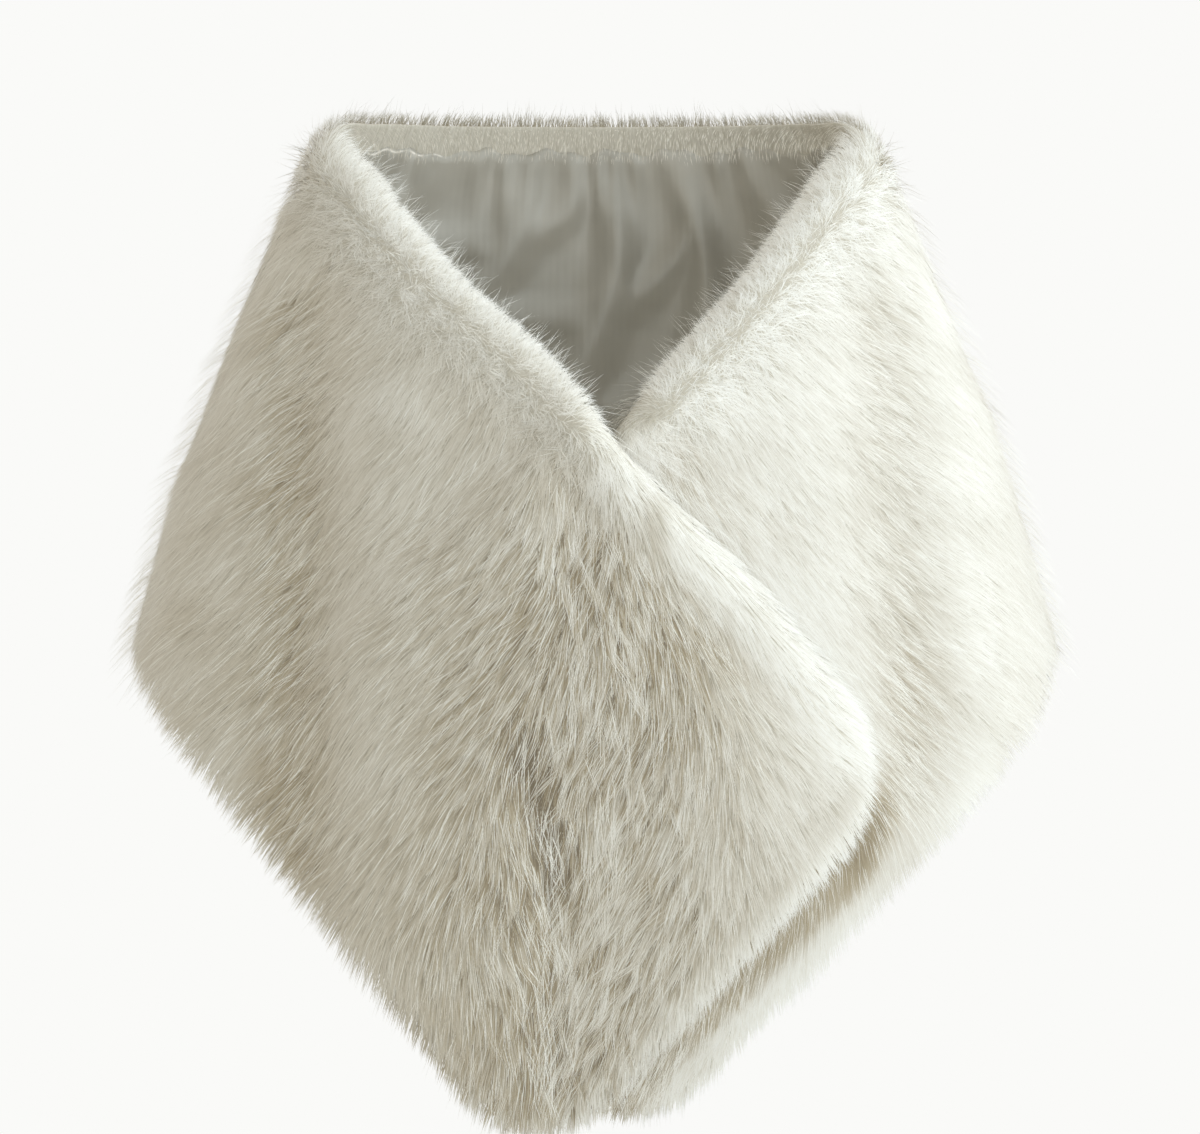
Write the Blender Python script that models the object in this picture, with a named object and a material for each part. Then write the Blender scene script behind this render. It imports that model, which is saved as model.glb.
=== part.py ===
"""Faux fur shawl, worn round the shoulders with its right front crossed over its left front.

Units are metres and +Z is up. The wearer faces -Y, so the wearer's right is at -X. The origin is the
middle of the shoulders that hold the shawl up. The shawl is one strip of fur with rounded corners and a
lining. It is laid round a smooth general figure in three stretches: the back and the two fronts.
"""

from typing import NamedTuple

import bmesh
import bpy
import numpy as np

# The strip as it is cut, measured from the centre back to one end
HALF_LENGTH = 1.03
WIDTH = 0.455
NECK_CORNER_RADIUS = 0.085
HEM_CORNER_RADIUS = 0.120
SEAM_FROM_CENTRE_BACK = 0.290

# Thicknesses: the fur wall runs from its backing to the tips of its pile
FUR_WALL = 0.020
LINING_WALL = 0.0015
SEAM_GAP = 0.0003
FUR_EDGE_RADIUS = 0.010

# The fur is turned over at the neck edge and at the ends, which stand up as a soft roll
ROLL_RISE = 0.006
ROLL_CREST = 0.016
ROLL_WIDTH = 0.058

# Where the fronts cross, the pile of the one beneath is pressed flat
PRESSED = 0.008
PRESS_RUN_IN = 0.022
LAP_GAP = 0.0030
LIFT_RUN_IN = 0.055

# The lining starts inside the turned fur and ends short of the hem
LINING_FROM_NECK = 0.024
LINING_FROM_HEM = 0.024

# The grid of each stretch: distances in from an edge, then even steps
EDGE_STEPS = (0.0, 0.0015, 0.006, 0.013, 0.024, 0.036)
ROWS_BETWEEN_EDGES = 15
STEP_ALONG = 0.023
CORNER_RUN_IN = 0.30
PATH_SAMPLES = 1200

# How much the form is squared towards its four quarters, as a share of its radius
SQUARENESS = 0.08

FUR_COLOUR = (0.78, 0.75, 0.70)
LINING_COLOUR = (0.42, 0.38, 0.34)


class Ring(NamedTuple):
    """One level section of the form that the worn cloth follows."""

    height: float
    half_width: float
    front_depth: float
    back_depth: float


class Station(NamedTuple):
    """A point of an edge: its turn from the centre front in degrees, and its height."""

    turn: float
    height: float


class Fold(NamedTuple):
    """A fold of the front, along a line of the front view. A rise below zero is a trough."""

    top_x: float
    top_height: float
    bottom_x: float
    bottom_height: float
    half_width: float
    rise: float


FORM = (
    Ring(-0.830, 0.394, 0.165, 0.190),
    Ring(-0.600, 0.394, 0.179, 0.190),
    Ring(-0.480, 0.386, 0.183, 0.186),
    Ring(-0.390, 0.370, 0.182, 0.178),
    Ring(-0.300, 0.345, 0.176, 0.168),
    Ring(-0.200, 0.313, 0.160, 0.158),
    Ring(-0.120, 0.284, 0.138, 0.150),
    Ring(-0.060, 0.261, 0.110, 0.142),
    Ring(0.000, 0.236, 0.079, 0.130),
    Ring(0.030, 0.218, 0.062, 0.120),
    Ring(0.050, 0.200, 0.051, 0.110),
    Ring(0.070, 0.176, 0.038, 0.098),
)

RIGHT_NECK_EDGE = (
    Station(180.0, 0.054),
    Station(150.0, 0.054),
    Station(120.0, 0.053),
    Station(90.0, 0.047),
    Station(65.0, 0.030),
    Station(45.0, 0.004),
    Station(34.0, -0.034),
    Station(19.6, -0.098),
    Station(6.8, -0.155),
    Station(-5.0, -0.235),
    Station(-18.6, -0.326),
    Station(-27.7, -0.408),
    Station(-35.6, -0.475),
)

LEFT_NECK_EDGE = (
    Station(180.0, 0.054),
    Station(150.0, 0.054),
    Station(120.0, 0.053),
    Station(90.0, 0.047),
    Station(65.0, 0.030),
    Station(46.0, 0.004),
    Station(35.5, -0.032),
    Station(22.5, -0.096),
    Station(10.0, -0.163),
    Station(-3.0, -0.242),
    Station(-18.0, -0.334),
    Station(-27.7, -0.408),
    Station(-35.6, -0.475),
)

RIGHT_HEM = (
    Station(180.0, -0.425),
    Station(150.0, -0.424),
    Station(120.0, -0.410),
    Station(100.0, -0.393),
    Station(88.0, -0.386),
    Station(75.0, -0.393),
    Station(60.0, -0.425),
    Station(44.7, -0.492),
    Station(32.6, -0.571),
    Station(23.0, -0.668),
    Station(9.0, -0.813),
)

LEFT_HEM = (
    Station(180.0, -0.425),
    Station(150.0, -0.424),
    Station(120.0, -0.410),
    Station(100.0, -0.393),
    Station(88.0, -0.386),
    Station(75.0, -0.393),
    Station(60.0, -0.432),
    Station(45.2, -0.494),
    Station(33.3, -0.566),
    Station(22.0, -0.655),
    Station(6.0, -0.792),
)

FOLDS = (
    Fold(-0.222, -0.110, -0.216, -0.520, 0.034, -0.013),
    Fold(-0.155, -0.200, -0.150, -0.560, 0.036, 0.006),
    Fold(-0.320, -0.260, -0.318, -0.430, 0.040, 0.006),
    Fold(0.205, -0.110, 0.236, -0.470, 0.034, -0.014),
    Fold(0.300, -0.200, 0.318, -0.430, 0.040, 0.005),
    Fold(-0.012, -0.220, -0.020, -0.330, 0.024, -0.006),
    Fold(-0.040, -0.450, -0.024, -0.720, 0.024, -0.007),
    Fold(0.075, -0.400, 0.060, -0.640, 0.034, 0.004),
)


def through(rows, name, at, by):
    """The column `name` of a table at the values `at` of its column `by`, along a smooth curve."""
    x = np.array([getattr(row, by) for row in rows])
    y = np.array([getattr(row, name) for row in rows])
    return smooth_curve(x, y, at)


def smooth_curve(x, y, at):
    """A cubic through the points (x, y), with x rising, whose slope at a point is its neighbours'."""
    step = np.diff(x)
    rise = np.diff(y) / step
    slope = np.empty(len(x))
    slope[0], slope[-1] = rise[0], rise[-1]
    slope[1:-1] = (rise[1:] * step[:-1] + rise[:-1] * step[1:]) / (step[1:] + step[:-1])
    at = np.clip(at, x[0], x[-1])
    i = np.clip(np.searchsorted(x, at) - 1, 0, len(x) - 2)
    t = (at - x[i]) / step[i]
    from_start = (2 * t**3 - 3 * t**2 + 1) * y[i] + (t**3 - 2 * t**2 + t) * step[i] * slope[i]
    from_end = (3 * t**2 - 2 * t**3) * y[i + 1] + (t**3 - t**2) * step[i] * slope[i + 1]
    return from_start + from_end


def eased(share):
    """0 to 1 with a soft start and a soft end."""
    share = np.clip(share, 0.0, 1.0)
    return share * share * (3 - 2 * share)


def smooth_form(turn, height):
    """Points of the general figure's form, before its folds. Turn is positive on the wearer's right."""
    angle = np.radians(turn)
    half_width = through(FORM, "half_width", height, "height")
    front = through(FORM, "front_depth", height, "height")
    back = through(FORM, "back_depth", height, "height")
    depth = back + (front - back) * (1 + np.cos(angle)) / 2
    squared = 1 + SQUARENESS * np.sin(2 * angle) ** 2
    x = -half_width * squared * np.sin(angle)
    y = -depth * squared * np.cos(angle)
    return np.stack([x, y, height + 0 * x], axis=-1)


def normals_of(surface, turn, height):
    """Outward unit normals of a surface given as a function of turn and height."""
    small_turn, small_height = 0.25, 0.0015
    along = surface(turn - small_turn, height) - surface(turn + small_turn, height)
    up = surface(turn, height + small_height) - surface(turn, height - small_height)
    normal = np.cross(along, up)
    return normal / np.linalg.norm(normal, axis=-1, keepdims=True)


def folded_form(turn, height):
    """The form with the front's folds, which fade out towards the sides."""
    base = smooth_form(turn, height)
    in_front = eased((np.cos(np.radians(turn)) - 0.05) / 0.25)
    rise = 0
    for fold in FOLDS:
        share = (height - fold.top_height) / (fold.bottom_height - fold.top_height)
        middle = fold.top_x + (fold.bottom_x - fold.top_x) * np.clip(share, 0, 1)
        beyond = np.maximum(np.abs(share - 0.5) - 0.5, 0) * (fold.top_height - fold.bottom_height)
        off = np.hypot(base[..., 0] - middle, beyond)
        rise = rise + fold.rise * np.exp(-((off / fold.half_width) ** 2))
    return base + normals_of(smooth_form, turn, height) * (rise * in_front)[..., None]


class Strip:
    """One half of the cut strip, from the centre back to its end, laid on the form.

    side is 1 for the wearer's right half and -1 for the left. along is the distance from the centre
    back and across the distance from the neck edge, both as cut.
    """

    def __init__(self, side, neck_edge, hem):
        self.side = side
        self.neck = self.measured(neck_edge)
        self.hem = self.measured(hem)

    @staticmethod
    def measured(stations):
        """Turn and height at even steps of distance along an edge."""
        turn = np.array([station.turn for station in stations])
        height = np.array([station.height for station in stations])
        chords = np.linalg.norm(np.diff(smooth_form(turn, height), axis=0), axis=1)
        knots = np.concatenate([[0], np.cumsum(chords)])
        fine = np.linspace(0, knots[-1], PATH_SAMPLES)
        fine_turn = smooth_curve(knots, turn, fine)
        fine_height = smooth_curve(knots, height, fine)
        steps = np.linalg.norm(np.diff(smooth_form(fine_turn, fine_height), axis=0), axis=1)
        run = np.concatenate([[0], np.cumsum(steps)])
        even = np.linspace(0, run[-1], PATH_SAMPLES)
        return np.interp(even, run, fine_turn), np.interp(even, run, fine_height)

    def place(self, along, across):
        """Turn and height of points of the strip. The left half's turns are negative."""
        share = np.clip(along / HALF_LENGTH, 0, 1) * (PATH_SAMPLES - 1)
        samples = np.arange(PATH_SAMPLES)
        neck_turn, neck_height = (np.interp(share, samples, column) for column in self.neck)
        hem_turn, hem_height = (np.interp(share, samples, column) for column in self.hem)
        down = across / WIDTH
        turn = neck_turn + (hem_turn - neck_turn) * down
        return self.side * turn, neck_height + (hem_height - neck_height) * down

    def front_outline(self):
        """The front's edge in the front view, from the shoulder round its end and back along its hem."""
        across = np.concatenate([[0.0] * 30, np.linspace(0, WIDTH, 60), [WIDTH] * 30])
        run = np.linspace(SEAM_FROM_CENTRE_BACK, 1, 30)
        end = HALF_LENGTH - end_cut(across[30:90])
        to_end = run * (HALF_LENGTH - NECK_CORNER_RADIUS)
        from_end = run[::-1] * (HALF_LENGTH - HEM_CORNER_RADIUS)
        along = np.concatenate([to_end, end, from_end])
        return smooth_form(*self.place(along, across))[:, (0, 2)]


def end_cut(across):
    """How far the rounded corners cut the strip's end back at each distance from the neck edge."""
    cut = np.zeros_like(across)
    for radius, off in ((NECK_CORNER_RADIUS, across), (HEM_CORNER_RADIUS, WIDTH - across)):
        into = np.clip(radius - off, 0, radius)
        cut = cut + radius - np.sqrt(radius**2 - into**2)
    return cut


def edge_distance(along, across):
    """Distance of points of the strip from its edge, rounded corners included."""
    distance = np.minimum(np.minimum(across, WIDTH - across), HALF_LENGTH - along)
    for radius, off in ((NECK_CORNER_RADIUS, across), (HEM_CORNER_RADIUS, WIDTH - across)):
        past = along - (HALF_LENGTH - radius)
        in_corner = (past > 0) & (off < radius)
        distance = np.where(in_corner, radius - np.hypot(past, radius - off), distance)
    return np.maximum(distance, 0)


def inside_distance(points, outline):
    """Distance of front-view points from a closed outline, positive inside it."""
    start, end = outline, np.roll(outline, -1, axis=0)
    run = end - start
    flat = points.reshape(-1, 1, 2)
    share = ((flat - start) * run).sum(-1) / (run**2).sum(-1).clip(1e-12)
    nearest = start + np.clip(share, 0, 1)[..., None] * run
    distance = np.linalg.norm(flat - nearest, axis=-1).min(axis=1)
    spans = (start[:, 1] > flat[..., 1]) != (end[:, 1] > flat[..., 1])
    rise = np.where(np.abs(run[:, 1]) > 1e-12, run[:, 1], 1e-12)
    crossing = start[:, 0] + (flat[..., 1] - start[:, 1]) * run[:, 0] / rise
    inside = (spans & (flat[..., 0] < crossing)).sum(axis=1) % 2 == 1
    return np.where(inside, distance, -distance).reshape(points.shape[:-1])


class Wall:
    """Works out the faces of the fur and of the lining at points of one half of the strip."""

    def __init__(self, strip, other_front):
        self.strip = strip
        self.other_outline = other_front.front_outline()
        self.is_outer = strip.side > 0

    def overlap(self, turn, height):
        """How far the inside face is lifted over the other front, and how far the pile is pressed."""
        front_view = smooth_form(turn, height)[..., (0, 2)]
        inside = inside_distance(front_view, self.other_outline)
        ahead = np.abs(turn) < 90
        if self.is_outer:
            share = eased((inside + LIFT_RUN_IN) / (LIFT_RUN_IN - 0.008)) * ahead
            lift = FUR_WALL - PRESSED + LAP_GAP + SEAM_GAP + LINING_WALL
            return share * lift, 0 * share
        share = eased((inside + PRESS_RUN_IN) / PRESS_RUN_IN) * ahead
        return 0 * share, share * PRESSED

    def face(self, along, across, outside):
        """Points of the fur's outside or inside face."""
        turn, height = self.strip.place(along, across)
        lift, pressed = self.overlap(turn, height)
        from_edge = edge_distance(along, across)
        into_edge = 1 - np.clip(from_edge / FUR_EDGE_RADIUS, 0, 1)
        half_wall = (FUR_WALL - pressed) / 2
        offset = lift - FUR_WALL + half_wall
        bulge = half_wall * np.sqrt(np.clip(1 - into_edge**2, 0, 1))
        if not outside:
            return self.offset(turn, height, offset - bulge)
        to_roll = np.minimum(across, HALF_LENGTH - end_cut(across) - along)
        down = eased((ROLL_WIDTH - to_roll) / (ROLL_WIDTH - ROLL_CREST))
        roll = ROLL_RISE * down * eased(from_edge / ROLL_CREST) * (1 - pressed / PRESSED)
        return self.offset(turn, height, offset + bulge + roll)

    def lining_face(self, along, across, outside):
        """Points of the lining's face against the fur, or of its inside face."""
        turn, height = self.strip.place(along, across)
        lift, _ = self.overlap(turn, height)
        depth = SEAM_GAP if outside else SEAM_GAP + LINING_WALL
        return self.offset(turn, height, lift - FUR_WALL - depth)

    @staticmethod
    def offset(turn, height, by):
        normal = normals_of(folded_form, turn, height)
        return folded_form(turn, height) + normal * np.asarray(by)[..., None]


def rows_across():
    """Distances of the grid's rows from the neck edge."""
    near_neck = np.array(EDGE_STEPS)
    near_hem = WIDTH - near_neck[:-1][::-1]
    between = np.linspace(near_neck[-1], near_hem[0], ROWS_BETWEEN_EDGES)
    return np.concatenate([near_neck, between[1:-1], near_hem])


def back_columns():
    """Distances of the back's columns from the centre back, from the left seam to the right."""
    reach = SEAM_FROM_CENTRE_BACK - SEAM_GAP / 2
    steps = 2 * round(reach / STEP_ALONG)
    return np.linspace(-reach, reach, steps + 1)


def front_columns():
    """Distances of a front's columns from the strip's end, from the seam to the end."""
    edge = np.array(EDGE_STEPS)[::-1]
    first = HALF_LENGTH - SEAM_FROM_CENTRE_BACK - SEAM_GAP / 2
    steps = round((first - edge[0]) / STEP_ALONG)
    return np.concatenate([np.linspace(first, edge[0], steps + 1)[:-1], edge])


def front_grid(columns, rows):
    """along and across of a front's grid, whose last columns bend round the rounded corners."""
    from_end, across = np.meshgrid(columns, rows, indexing="ij")
    bend = 1 - np.clip(from_end / CORNER_RUN_IN, 0, 1)
    return HALF_LENGTH - from_end - end_cut(across) * bend, across


def quads(mesh, first, second, flip):
    """Faces between two rows of vertices that may share some of them."""
    for a, b, c, d in zip(first[:-1], first[1:], second[1:], second[:-1]):
        corners = list(dict.fromkeys((d, c, b, a) if flip else (a, b, c, d)))
        if len(corners) > 2:
            mesh.faces.new(corners)


def slab(name, outer, inner, colour, roughness):
    """A closed wall between two grids of points. Where the grids meet, they share a vertex."""
    mesh = bmesh.new()
    outside = [[mesh.verts.new(point) for point in column] for column in outer]
    meets = np.linalg.norm(outer - inner, axis=-1) < 1e-7
    inside = [
        [outside[c][r] if meets[c, r] else mesh.verts.new(point) for r, point in enumerate(column)]
        for c, column in enumerate(inner)
    ]
    for left, right in zip(outside[:-1], outside[1:]):
        quads(mesh, left, right, flip=False)
    for left, right in zip(inside[:-1], inside[1:]):
        quads(mesh, left, right, flip=True)
    quads(mesh, inside[0], outside[0], flip=False)
    quads(mesh, outside[-1], inside[-1], flip=False)
    top_outer, top_inner = ([column[0] for column in grid] for grid in (outside, inside))
    low_outer, low_inner = ([column[-1] for column in grid] for grid in (outside, inside))
    quads(mesh, top_outer, top_inner, flip=False)
    quads(mesh, low_inner, low_outer, flip=False)
    bmesh.ops.recalc_face_normals(mesh, faces=mesh.faces)
    bmesh.ops.triangulate(mesh, faces=mesh.faces)
    data = bpy.data.meshes.new(name)
    mesh.to_mesh(data)
    mesh.free()
    data.shade_smooth()
    data.materials.append(cloth_material(name, colour, roughness))
    bpy.context.collection.objects.link(bpy.data.objects.new(name, data))


def cloth_material(name, colour, roughness):
    material = bpy.data.materials.new(name)
    material.use_nodes = True
    finish = material.node_tree.nodes["Principled BSDF"]
    finish.inputs["Base Color"].default_value = (*colour, 1)
    finish.inputs["Roughness"].default_value = roughness
    finish.inputs["Metallic"].default_value = 0
    return material


def add_front(name, wall):
    """One front's fur and its lining."""
    columns, rows = front_columns(), rows_across()
    grid = front_grid(columns, rows)
    slab(name, wall.face(*grid, True), wall.face(*grid, False), FUR_COLOUR, 0.9)
    lined = front_grid(columns[columns >= LINING_FROM_HEM - 1e-6], lining_rows(rows))
    faces = wall.lining_face(*lined, True), wall.lining_face(*lined, False)
    slab("lining_" + name, *faces, LINING_COLOUR, 0.45)


def lining_rows(rows):
    kept = (rows >= LINING_FROM_NECK - 1e-6) & (rows <= WIDTH - LINING_FROM_HEM + 1e-6)
    return rows[kept]


def add_back(name, right_wall, left_wall):
    """The stretch round the back, from one shoulder to the other, and its lining."""
    columns, rows = back_columns(), rows_across()

    def both_halves(face, across_rows, outside):
        left_columns = -columns[columns < -1e-9]
        halves = []
        for wall, along in ((left_wall, left_columns), (right_wall, columns[columns > -1e-9])):
            grid = np.meshgrid(along, across_rows, indexing="ij")
            halves.append(getattr(wall, face)(*grid, outside))
        return np.concatenate(halves)

    faces = (both_halves("face", rows, outside) for outside in (True, False))
    slab(name, *faces, FUR_COLOUR, 0.9)
    faces = (both_halves("lining_face", lining_rows(rows), outside) for outside in (True, False))
    slab("lining_" + name, *faces, LINING_COLOUR, 0.45)


def main():
    for obj in list(bpy.data.objects):
        bpy.data.objects.remove(obj, do_unlink=True)
    right = Strip(1, RIGHT_NECK_EDGE, RIGHT_HEM)
    left = Strip(-1, LEFT_NECK_EDGE, LEFT_HEM)
    right_wall, left_wall = Wall(right, left), Wall(left, right)
    add_back("back", right_wall, left_wall)
    add_front("right_front", right_wall)
    add_front("left_front", left_wall)


main()
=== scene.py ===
"""Faux fur shawl, worn round the shoulders with the right front crossed over the left: the looks.

The strip of fur is laid on the same general form as the CAD solids. A thin hide carries the pile, which is
made hair by hair, and a satin lining closes the inside. Units are metres, +Z is up, the wearer faces -Y.
"""

import logging
from dataclasses import dataclass, field
from enum import Enum
from typing import Callable, NamedTuple

import bpy
import numpy as np
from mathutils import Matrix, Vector
from mathutils.kdtree import KDTree

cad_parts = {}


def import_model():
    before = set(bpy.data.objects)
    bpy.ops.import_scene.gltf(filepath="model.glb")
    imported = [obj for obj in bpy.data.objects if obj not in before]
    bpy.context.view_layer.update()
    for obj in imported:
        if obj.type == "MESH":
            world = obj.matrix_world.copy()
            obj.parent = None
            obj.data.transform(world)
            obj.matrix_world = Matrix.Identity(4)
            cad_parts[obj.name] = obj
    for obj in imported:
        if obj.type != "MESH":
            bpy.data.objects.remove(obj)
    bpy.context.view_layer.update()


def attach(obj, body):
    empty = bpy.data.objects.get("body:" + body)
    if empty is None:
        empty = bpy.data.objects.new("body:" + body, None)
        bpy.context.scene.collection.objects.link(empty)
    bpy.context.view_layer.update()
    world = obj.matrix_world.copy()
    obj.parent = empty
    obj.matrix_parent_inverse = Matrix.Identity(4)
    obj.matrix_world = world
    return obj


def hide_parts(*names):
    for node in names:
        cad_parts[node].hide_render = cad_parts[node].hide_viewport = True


log = logging.getLogger("shawl")

BODY = "root"


class Ring(NamedTuple):
    """One level section of the form that the worn cloth follows."""

    height: float
    half_width: float
    front_depth: float
    back_depth: float


class Station(NamedTuple):
    """A point of an edge: its turn from the centre front in degrees, and its height."""

    turn: float
    height: float


class Fold(NamedTuple):
    """A fold of the front, along a line of the front view. A rise below zero is a trough."""

    top_x: float
    top_height: float
    bottom_x: float
    bottom_height: float
    half_width: float
    rise: float


FORM = (
    Ring(-0.830, 0.394, 0.165, 0.190),
    Ring(-0.600, 0.394, 0.179, 0.190),
    Ring(-0.480, 0.386, 0.183, 0.186),
    Ring(-0.390, 0.370, 0.182, 0.178),
    Ring(-0.300, 0.345, 0.176, 0.168),
    Ring(-0.200, 0.313, 0.160, 0.158),
    Ring(-0.120, 0.284, 0.138, 0.150),
    Ring(-0.060, 0.261, 0.110, 0.142),
    Ring(0.000, 0.236, 0.079, 0.130),
    Ring(0.030, 0.218, 0.062, 0.120),
    Ring(0.050, 0.200, 0.051, 0.110),
    Ring(0.070, 0.176, 0.038, 0.098),
)


def stations(*rows: tuple[float, float]) -> tuple[Station, ...]:
    """Stations from rows of turn and height."""
    return tuple(Station(*row) for row in rows)


# Each edge runs from the centre back to the strip's end. Both halves share their stations round the back.
BACK_NECK_EDGE = stations((180.0, 0.054), (150.0, 0.054), (120.0, 0.053), (90.0, 0.047), (65.0, 0.030))
RIGHT_NECK_EDGE = BACK_NECK_EDGE + stations(
    (45.0, 0.004), (34.0, -0.034), (19.6, -0.098), (6.8, -0.155),
    (-5.0, -0.235), (-18.6, -0.326), (-27.7, -0.408), (-35.6, -0.475),
)
LEFT_NECK_EDGE = BACK_NECK_EDGE + stations(
    (46.0, 0.004), (35.5, -0.032), (22.5, -0.096), (10.0, -0.163),
    (-3.0, -0.242), (-18.0, -0.334), (-27.7, -0.408), (-35.6, -0.475),
)
BACK_HEM = stations(
    (180.0, -0.425), (150.0, -0.424), (120.0, -0.410), (100.0, -0.393), (88.0, -0.386), (75.0, -0.393)
)
RIGHT_HEM = BACK_HEM + stations((60.0, -0.425), (44.7, -0.492), (32.6, -0.571), (23.0, -0.668), (9.0, -0.813))
LEFT_HEM = BACK_HEM + stations((60.0, -0.432), (45.2, -0.494), (33.3, -0.566), (22.0, -0.655), (6.0, -0.792))

# The front's folds, as in the CAD solids
FOLDS = (
    Fold(-0.222, -0.110, -0.216, -0.520, 0.034, -0.013),
    Fold(-0.155, -0.200, -0.150, -0.560, 0.036, 0.006),
    Fold(-0.320, -0.260, -0.318, -0.430, 0.040, 0.006),
    Fold(0.205, -0.110, 0.236, -0.470, 0.034, -0.014),
    Fold(0.300, -0.200, 0.318, -0.430, 0.040, 0.005),
    Fold(-0.012, -0.220, -0.020, -0.330, 0.024, -0.006),
    Fold(-0.040, -0.450, -0.024, -0.720, 0.024, -0.007),
    Fold(0.075, -0.400, 0.060, -0.640, 0.034, 0.004),
)

# Lines of painted shade where the pile opens. These change its tint and not the cloth's form
PARTING_SHADES = (
    Fold(-0.049, -0.444, -0.028, -0.535, 0.015, -0.036),
    Fold(-0.046, -0.520, -0.044, -0.690, 0.022, -0.009),
    Fold(0.180, -0.200, 0.192, -0.360, 0.030, -0.005),
    Fold(0.034, -0.262, 0.040, -0.290, 0.008, -0.020),
    Fold(0.226, -0.400, 0.228, -0.600, 0.030, -0.022),
)


@dataclass(frozen=True)
class Cut:
    """The strip as it is cut, with half its length measured from the centre back."""

    half_length: float = 1.03
    width: float = 0.455
    neck_corner: float = 0.085
    hem_corner: float = 0.120
    neck_inset: float = 0.0
    hem_inset: float = 0.0
    end_inset: float = 0.0
    corner_run_in: float = 0.30

    @property
    def top(self) -> float:
        """Distance of the upper edge from the neck edge as cut."""
        return self.neck_inset

    @property
    def low(self) -> float:
        """Distance of the lower edge from the neck edge as cut."""
        return self.width - self.hem_inset

    @property
    def end(self) -> float:
        """Distance of the end from the centre back."""
        return self.half_length - self.end_inset

    def corners(self, across: np.ndarray) -> tuple[tuple[float, np.ndarray], ...]:
        """The two rounded corners.

        Args:
            across: Distances from the neck edge.

        Returns:
            For each corner its radius, and the distances from the edge that it starts on.
        """
        return (
            (self.neck_corner - self.neck_inset, across - self.top),
            (self.hem_corner - self.hem_inset, self.low - across),
        )

    def end_cut(self, across: np.ndarray) -> np.ndarray:
        """How far the rounded corners cut the end back.

        Args:
            across: Distances from the neck edge.

        Returns:
            A distance for each of them.
        """
        cut = np.zeros_like(across)
        for radius, off in self.corners(across):
            into = np.clip(radius - off, 0, radius)
            cut = cut + radius - np.sqrt(radius**2 - into**2)
        return cut

    def along_at(self, from_end: np.ndarray, across: np.ndarray) -> np.ndarray:
        """Distance from the centre back of a grid's columns, which bend to the rounded end near it."""
        bend = 1 - np.clip(from_end / self.corner_run_in, 0, 1)
        return self.end - from_end - self.end_cut(across) * bend

    def edge_distance(self, along: np.ndarray, across: np.ndarray) -> np.ndarray:
        """Distance of points of the strip from its edge.

        Args:
            along: Distances from the centre back.
            across: Distances from the neck edge.

        Returns:
            Distances, the rounded corners included, and 0 past the edge.
        """
        distance = np.minimum(np.minimum(across - self.top, self.low - across), self.end - along)
        for radius, off in self.corners(across):
            past = along - (self.end - radius)
            in_corner = (past > 0) & (off < radius)
            distance = np.where(in_corner, radius - np.hypot(past, radius - off), distance)
        return np.maximum(distance, 0)


CLOTH = Cut()

# Stands for the distance inside the other front where that one doesn't reach
FAR_OUTSIDE = -1.0


def eased(share: np.ndarray) -> np.ndarray:
    """0 to 1 with a soft start and a soft end."""
    share = np.clip(share, 0.0, 1.0)
    return share * share * (3 - 2 * share)


class Fade(NamedTuple):
    """A soft change from 0 at start to 1 a run further on. With a run below zero it goes the other way."""

    start: float
    run: float

    def at(self, value: np.ndarray) -> np.ndarray:
        """The share reached at each value."""
        return eased((value - self.start) / self.run)


class Spot(NamedTuple):
    """A soft spot of the front view, strongest in its middle."""

    x: float
    height: float
    half_width: float
    half_height: float
    strength: float

    def at(self, place: np.ndarray) -> np.ndarray:
        """Its strength at each place."""
        off_x = (place[:, 0] - self.x) / self.half_width
        off_height = (place[:, 2] - self.height) / self.half_height
        return self.strength * np.exp(-(off_x**2) - off_height**2)


def unit(vectors: np.ndarray) -> np.ndarray:
    """The vectors at length 1."""
    return vectors / np.linalg.norm(vectors, axis=-1, keepdims=True).clip(1e-12)


def smooth_curve(x: np.ndarray, y: np.ndarray, at: np.ndarray) -> np.ndarray:
    """A cubic through some points, whose slope at each follows its neighbours.

    Args:
        x: The points' first values, rising.
        y: Their second values.
        at: Where the curve is wanted.

    Returns:
        The curve's values there.
    """
    step = np.diff(x)
    rise = np.diff(y) / step
    slope = np.empty(len(x))
    slope[0], slope[-1] = rise[0], rise[-1]
    slope[1:-1] = (rise[1:] * step[:-1] + rise[:-1] * step[1:]) / (step[1:] + step[:-1])
    at = np.clip(at, x[0], x[-1])
    i = np.clip(np.searchsorted(x, at) - 1, 0, len(x) - 2)
    t = (at - x[i]) / step[i]
    from_start = (2 * t**3 - 3 * t**2 + 1) * y[i] + (t**3 - 2 * t**2 + t) * step[i] * slope[i]
    from_end = (3 * t**2 - 2 * t**3) * y[i + 1] + (t**3 - t**2) * step[i] * slope[i + 1]
    return from_start + from_end


def inside_distance(points: np.ndarray, outline: np.ndarray) -> np.ndarray:
    """Distance of points from a closed outline.

    Args:
        points: Places of the front view.
        outline: The outline's corners in turn.

    Returns:
        A distance for each point, positive inside.
    """
    start, end = outline, np.roll(outline, -1, axis=0)
    run = end - start
    flat = points.reshape(-1, 1, 2)
    share = ((flat - start) * run).sum(-1) / (run**2).sum(-1).clip(1e-12)
    nearest = start + np.clip(share, 0, 1)[..., None] * run
    distance = np.linalg.norm(flat - nearest, axis=-1).min(axis=1)
    spans = (start[:, 1] > flat[..., 1]) != (end[:, 1] > flat[..., 1])
    rise = np.where(np.abs(run[:, 1]) > 1e-12, run[:, 1], 1e-12)
    crossing = start[:, 0] + (flat[..., 1] - start[:, 1]) * run[:, 0] / rise
    inside = (spans & (flat[..., 0] < crossing)).sum(axis=1) % 2 == 1
    return np.where(inside, distance, -distance).reshape(points.shape[:-1])


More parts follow.
